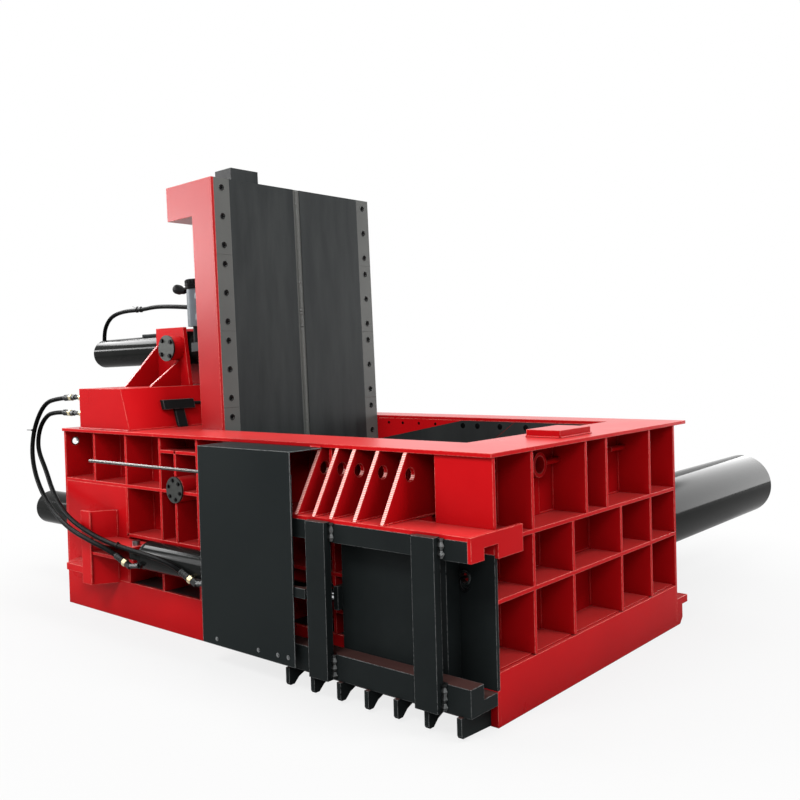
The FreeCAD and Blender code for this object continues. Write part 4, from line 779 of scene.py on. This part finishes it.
def on_lid(u, y, w):
    """Point of the open lid: along it from the hinge, back from the frame's front face, and over its axis."""
    x = (u * math.cos(swing) - w * math.sin(swing)) / 1000
    z = (u * math.sin(swing) + w * math.cos(swing)) / 1000
    return at(2395, y, 905) + Vector((x, 0, z))


lid_out = Vector((math.sin(swing), 0, -math.cos(swing)))
lid_up = Vector((math.cos(swing), 0, math.sin(swing)))

# oiled hot-rolled plate: charcoal grey in upright streaks, 110 mm wide and 670 mm long
wear_steel, tree, shader, place = finish_of("oiled_wear_plate", Specular_IOR_Level=0.15)
streak_map = add(tree, "ShaderNodeMapping", {"Scale": (1.0, 3.0, 0.5)}, {"Vector": (place, "Object")})
streaks = add(tree, "ShaderNodeTexNoise", {"Scale": spaced(333.3), "Detail": 7.0, "Roughness": 0.6},
              {"Vector": (streak_map, 0)})
# rub marks of 1 mm, drawn 2 mm wide and 12 mm long so that they show
scratches = add(tree, "ShaderNodeTexNoise", {"Scale": spaced(6.25), "Detail": 2.0},
                {"Vector": (streak_map, 0)})
patch = add(tree, "ShaderNodeMapRange", {"From Min": 0.35, "From Max": 0.70}, {"Value": (streaks, "Fac")})
tone = add(tree, "ShaderNodeMixRGB", {1: linear("#1A1D1E"), 2: linear("#282B2B")}, {0: (patch, 0)})
dull = add(tree, "ShaderNodeMapRange", {"To Min": 0.38, "To Max": 0.58}, {"Value": (streaks, "Fac")})
rounded = add(tree, "ShaderNodeBevel", {"samples": 4, "Radius": 0.003})
fine = add(tree, "ShaderNodeBump", {"Strength": 0.15, "Distance": 0.0005},
           {"Height": (scratches, "Fac"), "Normal": (rounded, 0)})
wire_up(tree, shader, tone, dull, fine)

# ground and oiled blade steel: mid grey with a soft sheen, cloudy over 400 mm
blade_steel, tree, shader, place = finish_of("hardened_blade_steel", Specular_IOR_Level=0.3)
# grinding marks of 0.5 mm run across the blade, drawn 4 mm wide and 80 mm long so that they show
ground_map = add(tree, "ShaderNodeMapping", {"Scale": (1.0, 0.3, 6.0)}, {"Vector": (place, "Object")})
ground = add(tree, "ShaderNodeTexNoise", {"Scale": spaced(25), "Detail": 4.0}, {"Vector": (ground_map, 0)})
clouds = add(tree, "ShaderNodeTexNoise", {"Scale": spaced(400), "Detail": 5.0}, {"Vector": (place, "Object")})
tone = add(tree, "ShaderNodeMixRGB", {1: linear("#3A3C3B"), 2: linear("#545552")}, {0: (clouds, "Fac")})
dull = add(tree, "ShaderNodeMapRange", {"To Min": 0.34, "To Max": 0.50}, {"Value": (ground, "Fac")})
rounded = add(tree, "ShaderNodeBevel", {"samples": 4, "Radius": 0.004})
fine = add(tree, "ShaderNodeBump", {"Strength": 0.1, "Distance": 0.0004},
           {"Height": (ground, "Fac"), "Normal": (rounded, 0)})
wire_up(tree, shader, tone, dull, fine)

# the lid was sprayed by itself and has the thicker, glossier coat
lid_enamel = red_enamel.copy()
lid_enamel.name = "thick_red_enamel_on_lid"
tree = lid_enamel.node_tree
tree.nodes["film"].inputs["To Min"].default_value = 0.16
tree.nodes["coat"].inputs[1].default_value = linear("#8C0A10")
tree.nodes["coat"].inputs[2].default_value = linear("#A81014")
dress(lid_enamel, "lid_sides", "lid_head_beam", "lid_frame_plates", "lid_ears")
dress(wear_steel, "lid_wear_plates", "lock_tongue")
dress(blade_steel, "lid_blades", "lid_centre_strip")

# four blades a side, each with three holes; blade screws sit in blackened sockets, and a bright chamfered
# rim shows round each hole
lid_tip, blade_length, hole_inset, hole_pitch = 1990, 501.25, 62.5, 188.1
hinge_end = 130
blade_places = []
for y in (436, 1784):
    for number in range(4):
        for hole in range(3):
            u = lid_tip - blade_length * (number + 1) + hole_inset + hole_pitch * hole
            if u > hinge_end:
                blade_places.append((y, u))
sockets = bmesh.new()
rims = bmesh.new()
for y, u in blade_places:
    face = on_lid(u, y, -45)
    turned(sockets, face, lid_out, [(-14, 15.9), (0.8, 15.9), (0.8, 20.5), (-1, 20.5)], 20, bored=True)
    turned(rims, face, lid_out, [(-1, 20.5), (1.6, 20.5), (1.6, 22.5), (0.4, 24), (-1, 24)], 20, bored=True)
finished("blade_hole_sockets", sockets, black_bolt, "lid")
finished("blade_hole_rims", rims, blade_steel, "lid")
bolted("blade_screws", [(on_lid(u, y, -30), lid_out) for y, u in blade_places], black_bolt, "lid",
       (12, 8), (13.5, 2), 12)
centre_seam = (on_lid(110, 1100, -42), on_lid(1985, 1100, -42))
welded("lid_centre_weld", [centre_seam], blade_steel, "lid", 10, 22)
# the two pairs of ears, and the joint under the hooked head
ear_seams = []
for y in (750, 1450):
    for edge_y in (y - 91, y - 55, y + 55, y + 91):
        ear_seams.append((on_lid(760, edge_y, 173), on_lid(1060, edge_y, 173)))
ear_seams.append((on_lid(1758, 375, 173), on_lid(1758, 1825, 173)))
welded("lid_weld_beads", ear_seams, red_enamel, "lid", 7, 14)

# the lock cylinder's tube in mid grey, a painted reflection of the white surround: half matt, uneven over 80
# mm
reflection_grey_tube = clouded("grey_tube_painted_reflection", 83.33, 4.0, "#4A4F54", "#626A70", 0.28, 0.40, Specular_IOR_Level=0.25)
dress(reflection_grey_tube, "lock_cylinder")
dress(black_enamel, "lock_rod", "lock_cylinder_cap")

# its black cap has a clamp band and ribs, and an angled fitting with its protective cone
cap = bmesh.new()
cap_foot = on_lid(1292, 428, 275)
turned(cap, cap_foot, lid_up, [(0, 59), (0, 66), (4, 69), (12, 69), (16, 64), (20, 64), (24, 68), (32, 68),
                               (36, 63.5), (58, 63.5), (64, 60), (66, 52), (66, 20)], 32)
for number in range(16):
    angle = math.tau * number / 16
    spoke = lid_out * math.cos(angle) + Vector((0, 1, 0)) * math.sin(angle)
    turned(cap, cap_foot + spoke * 0.0635 + lid_up * 0.037, lid_up, [(0, 3), (1, 4.5), (20, 4.5), (22, 3)], 8)
cone_tip, cone_foot = at(2917, 428, 2204), at(2810, 428, 2180)
turned(cap, cone_tip, cone_foot - cone_tip,
       [(0, 16), (0, 30), (10, 33), (44, 33), (62, 26), (92, 22), (108, 14), (108, 8)], 20)
finished("lock_cylinder_fittings", cap, nylon, "lid")

# ---------------------------------------------------------------- lid cylinders
# Two lacquered tubes that swing in the trunnions, with chromed rods. Each has a welded rear cap, a gland
# nut where the rod comes out, and a flat clamp bar on top.

dress(black_lacquer, "lid_cylinders")
dress(hard_chrome, "lid_rods")

trunnion = at(3165, 0, 1800)
line_way = (on_lid(910, 0, 275) - trunnion).normalized()
line_up = Vector((-line_way.z, 0, line_way.x))


def on_cylinder(y, along, up=0.0):
    """Point on a lid cylinder's axis, measured from its trunnions towards the rod's eye."""
    return trunnion + Vector((0, y / 1000, 0)) + line_way * (along / 1000) + line_up * (up / 1000)


ends = bmesh.new()
bars = bmesh.new()
for y in (750, 1450):
    turned(ends, on_cylinder(y, -1198), line_way, [(0, 40), (0, 96), (5, 106), (12, 110), (18, 111.5)], 48)
    turned(ends, on_cylinder(y, 365), line_way,
           [(0, 51), (0, 108), (3, 111), (24, 111), (28, 104), (28, 80), (40, 76), (40, 51)], 48, bored=True)
    slab(bars, on_cylinder(y - 40, -600, 106), on_cylinder(y + 40, -380, 126))
bmesh.ops.bevel(bars, geom=bars.edges[:], offset=0.003, segments=2, affect="EDGES", profile=0.5)
finished("lid_cylinder_ends", ends, black_lacquer, "lid_cylinder", 30.0)
finished("lid_cylinder_bars", bars, black_enamel, "lid_cylinder")

# ---------------------------------------------------------------- floor and light
# A white studio floor that keeps the machine's shadow, in a white surround. Steep soft lamps stand over the
# middle, the front and the right, weaker ones low at the front corners; strips at the left and a broad lamp
# behind are there to be mirrored in the tubes.

# matt floor paint; the part of it that shows as plain white grows away from the machine
floor_paint, tree, shader, place = finish_of("white_studio_floor", Base_Color=linear("#A8A8A8"),
                                             Roughness=0.9, Specular_IOR_Level=0.1)
spread = add(tree, "ShaderNodeVectorMath", {"operation": "LENGTH"}, {0: (place, "Object")})
# the shadow fades out between 2.2 m and 4.5 m from the middle of the machine
far = add(tree, "ShaderNodeMapRange",
          {"interpolation_type": "SMOOTHSTEP", "From Min": 2.2, "From Max": 4.5, "To Min": 0.80,
           "To Max": 1.0}, {"Value": (spread, "Value")})
# mirrored in the tubes, the floor turns white only between 6 m and 14 m
farther = add(tree, "ShaderNodeMapRange",
              {"interpolation_type": "SMOOTHSTEP", "From Min": 6.0, "From Max": 14.0, "To Min": 0.10,
               "To Max": 1.0}, {"Value": (spread, "Value")})
ray = add(tree, "ShaderNodeLightPath")
indirect = add(tree, "ShaderNodeMath", {"operation": "MAXIMUM"},
               {0: (ray, "Is Glossy Ray"), 1: (ray, "Is Transmission Ray")})
mirrored = add(tree, "ShaderNodeMath", {"operation": "MULTIPLY"}, {0: (indirect, 0), 1: (farther, 0)})
seen = add(tree, "ShaderNodeMath", {"operation": "MULTIPLY"}, {0: (ray, "Is Camera Ray"), 1: (far, 0)})
share = add(tree, "ShaderNodeMath", {"operation": "MAXIMUM"}, {0: (seen, 0), 1: (mirrored, 0)})
white = add(tree, "ShaderNodeEmission", {"Color": (1.0, 1.0, 1.0, 1.0), "Strength": 1.0})
blend = add(tree, "ShaderNodeMixShader", {}, {0: (share, 0), 1: (shader, 0), 2: (white, 0)})
tree.links.new(blend.outputs[0], tree.nodes["Material Output"].inputs["Surface"])

floor_mesh = bpy.data.meshes.new("floor")
# 80 m square, 2 mm under the skirts
reach, under = 40, -0.002
floor_mesh.from_pydata([(-reach, -reach, under), (reach, -reach, under), (reach, reach, under),
                        (-reach, reach, under)], [], [(0, 1, 2, 3)])
floor_mesh.materials.append(floor_paint)
floor = placed("floor", floor_mesh)

world = bpy.data.worlds.new("surround")
bpy.context.scene.world = world
world.use_nodes = True
tree = world.node_tree
# full white to the eye and in mirrors, and a faint fill on the machine
ray = add(tree, "ShaderNodeLightPath")
seen = add(tree, "ShaderNodeMath", {"operation": "MAXIMUM"},
           {0: (ray, "Is Camera Ray"), 1: (ray, "Is Glossy Ray")})
shown = add(tree, "ShaderNodeMath", {"operation": "MAXIMUM"}, {0: (seen, 0), 1: (ray, "Is Transmission Ray")})
strength = add(tree, "ShaderNodeMapRange", {"To Min": 0.17, "To Max": 1.0}, {"Value": (shown, 0)})
background = tree.nodes["Background"]
background.inputs["Color"].default_value = (1.0, 1.0, 1.0, 1.0)
tree.links.new(strength.outputs[0], background.inputs["Strength"])

# name, place and aim in metres, width and depth in metres, power in watts
for name, spot, aim, width, depth, power in (
        ("overhead", (-0.2, 0.3, 8.4), (-0.2, 0.3, 0.8), 6.0, 2.8, 350.0),
        ("front", (0.6, -6.6, 7.6), (0.0, -0.6, 0.8), 4.2, 2.2, 690.0),
        ("right", (6.4, 0.6, 7.4), (1.8, 0.0, 0.5), 3.6, 2.2, 560.0),
        ("front_right", (5.4, -5.8, 4.0), (0.2, -0.2, 0.7), 2.0, 2.0, 150.0),
        ("front_left", (-5.6, -4.7, 3.7), (-1.0, -0.8, 1.4), 2.6, 3.0, 230.0),
        ("left_strip", (-7.6, -0.6, 5.4), (-1.8, 0.0, 1.7), 4.0, 1.0, 230.0),
        ("left_line", (-7.6, -3.8, 3.3), (-1.8, 0.0, 1.7), 2.6, 0.6, 140.0),
        ("back", (2.6, 11.5, 2.6), (1.8, 2.4, 0.7), 8.0, 4.8, 640.0)):
    lamp_data = bpy.data.lights.new(name, "AREA")
    lamp_data.shape = "RECTANGLE"
    lamp_data.size = width
    lamp_data.size_y = depth
    lamp_data.energy = power
    lamp = placed(name, lamp_data)
    direction = Vector(aim) - Vector(spot)
    lamp.matrix_world = Matrix.Translation(spot) @ direction.to_track_quat("-Z", "Y").to_matrix().to_4x4()

bpy.context.scene.view_settings.view_transform = "Standard"
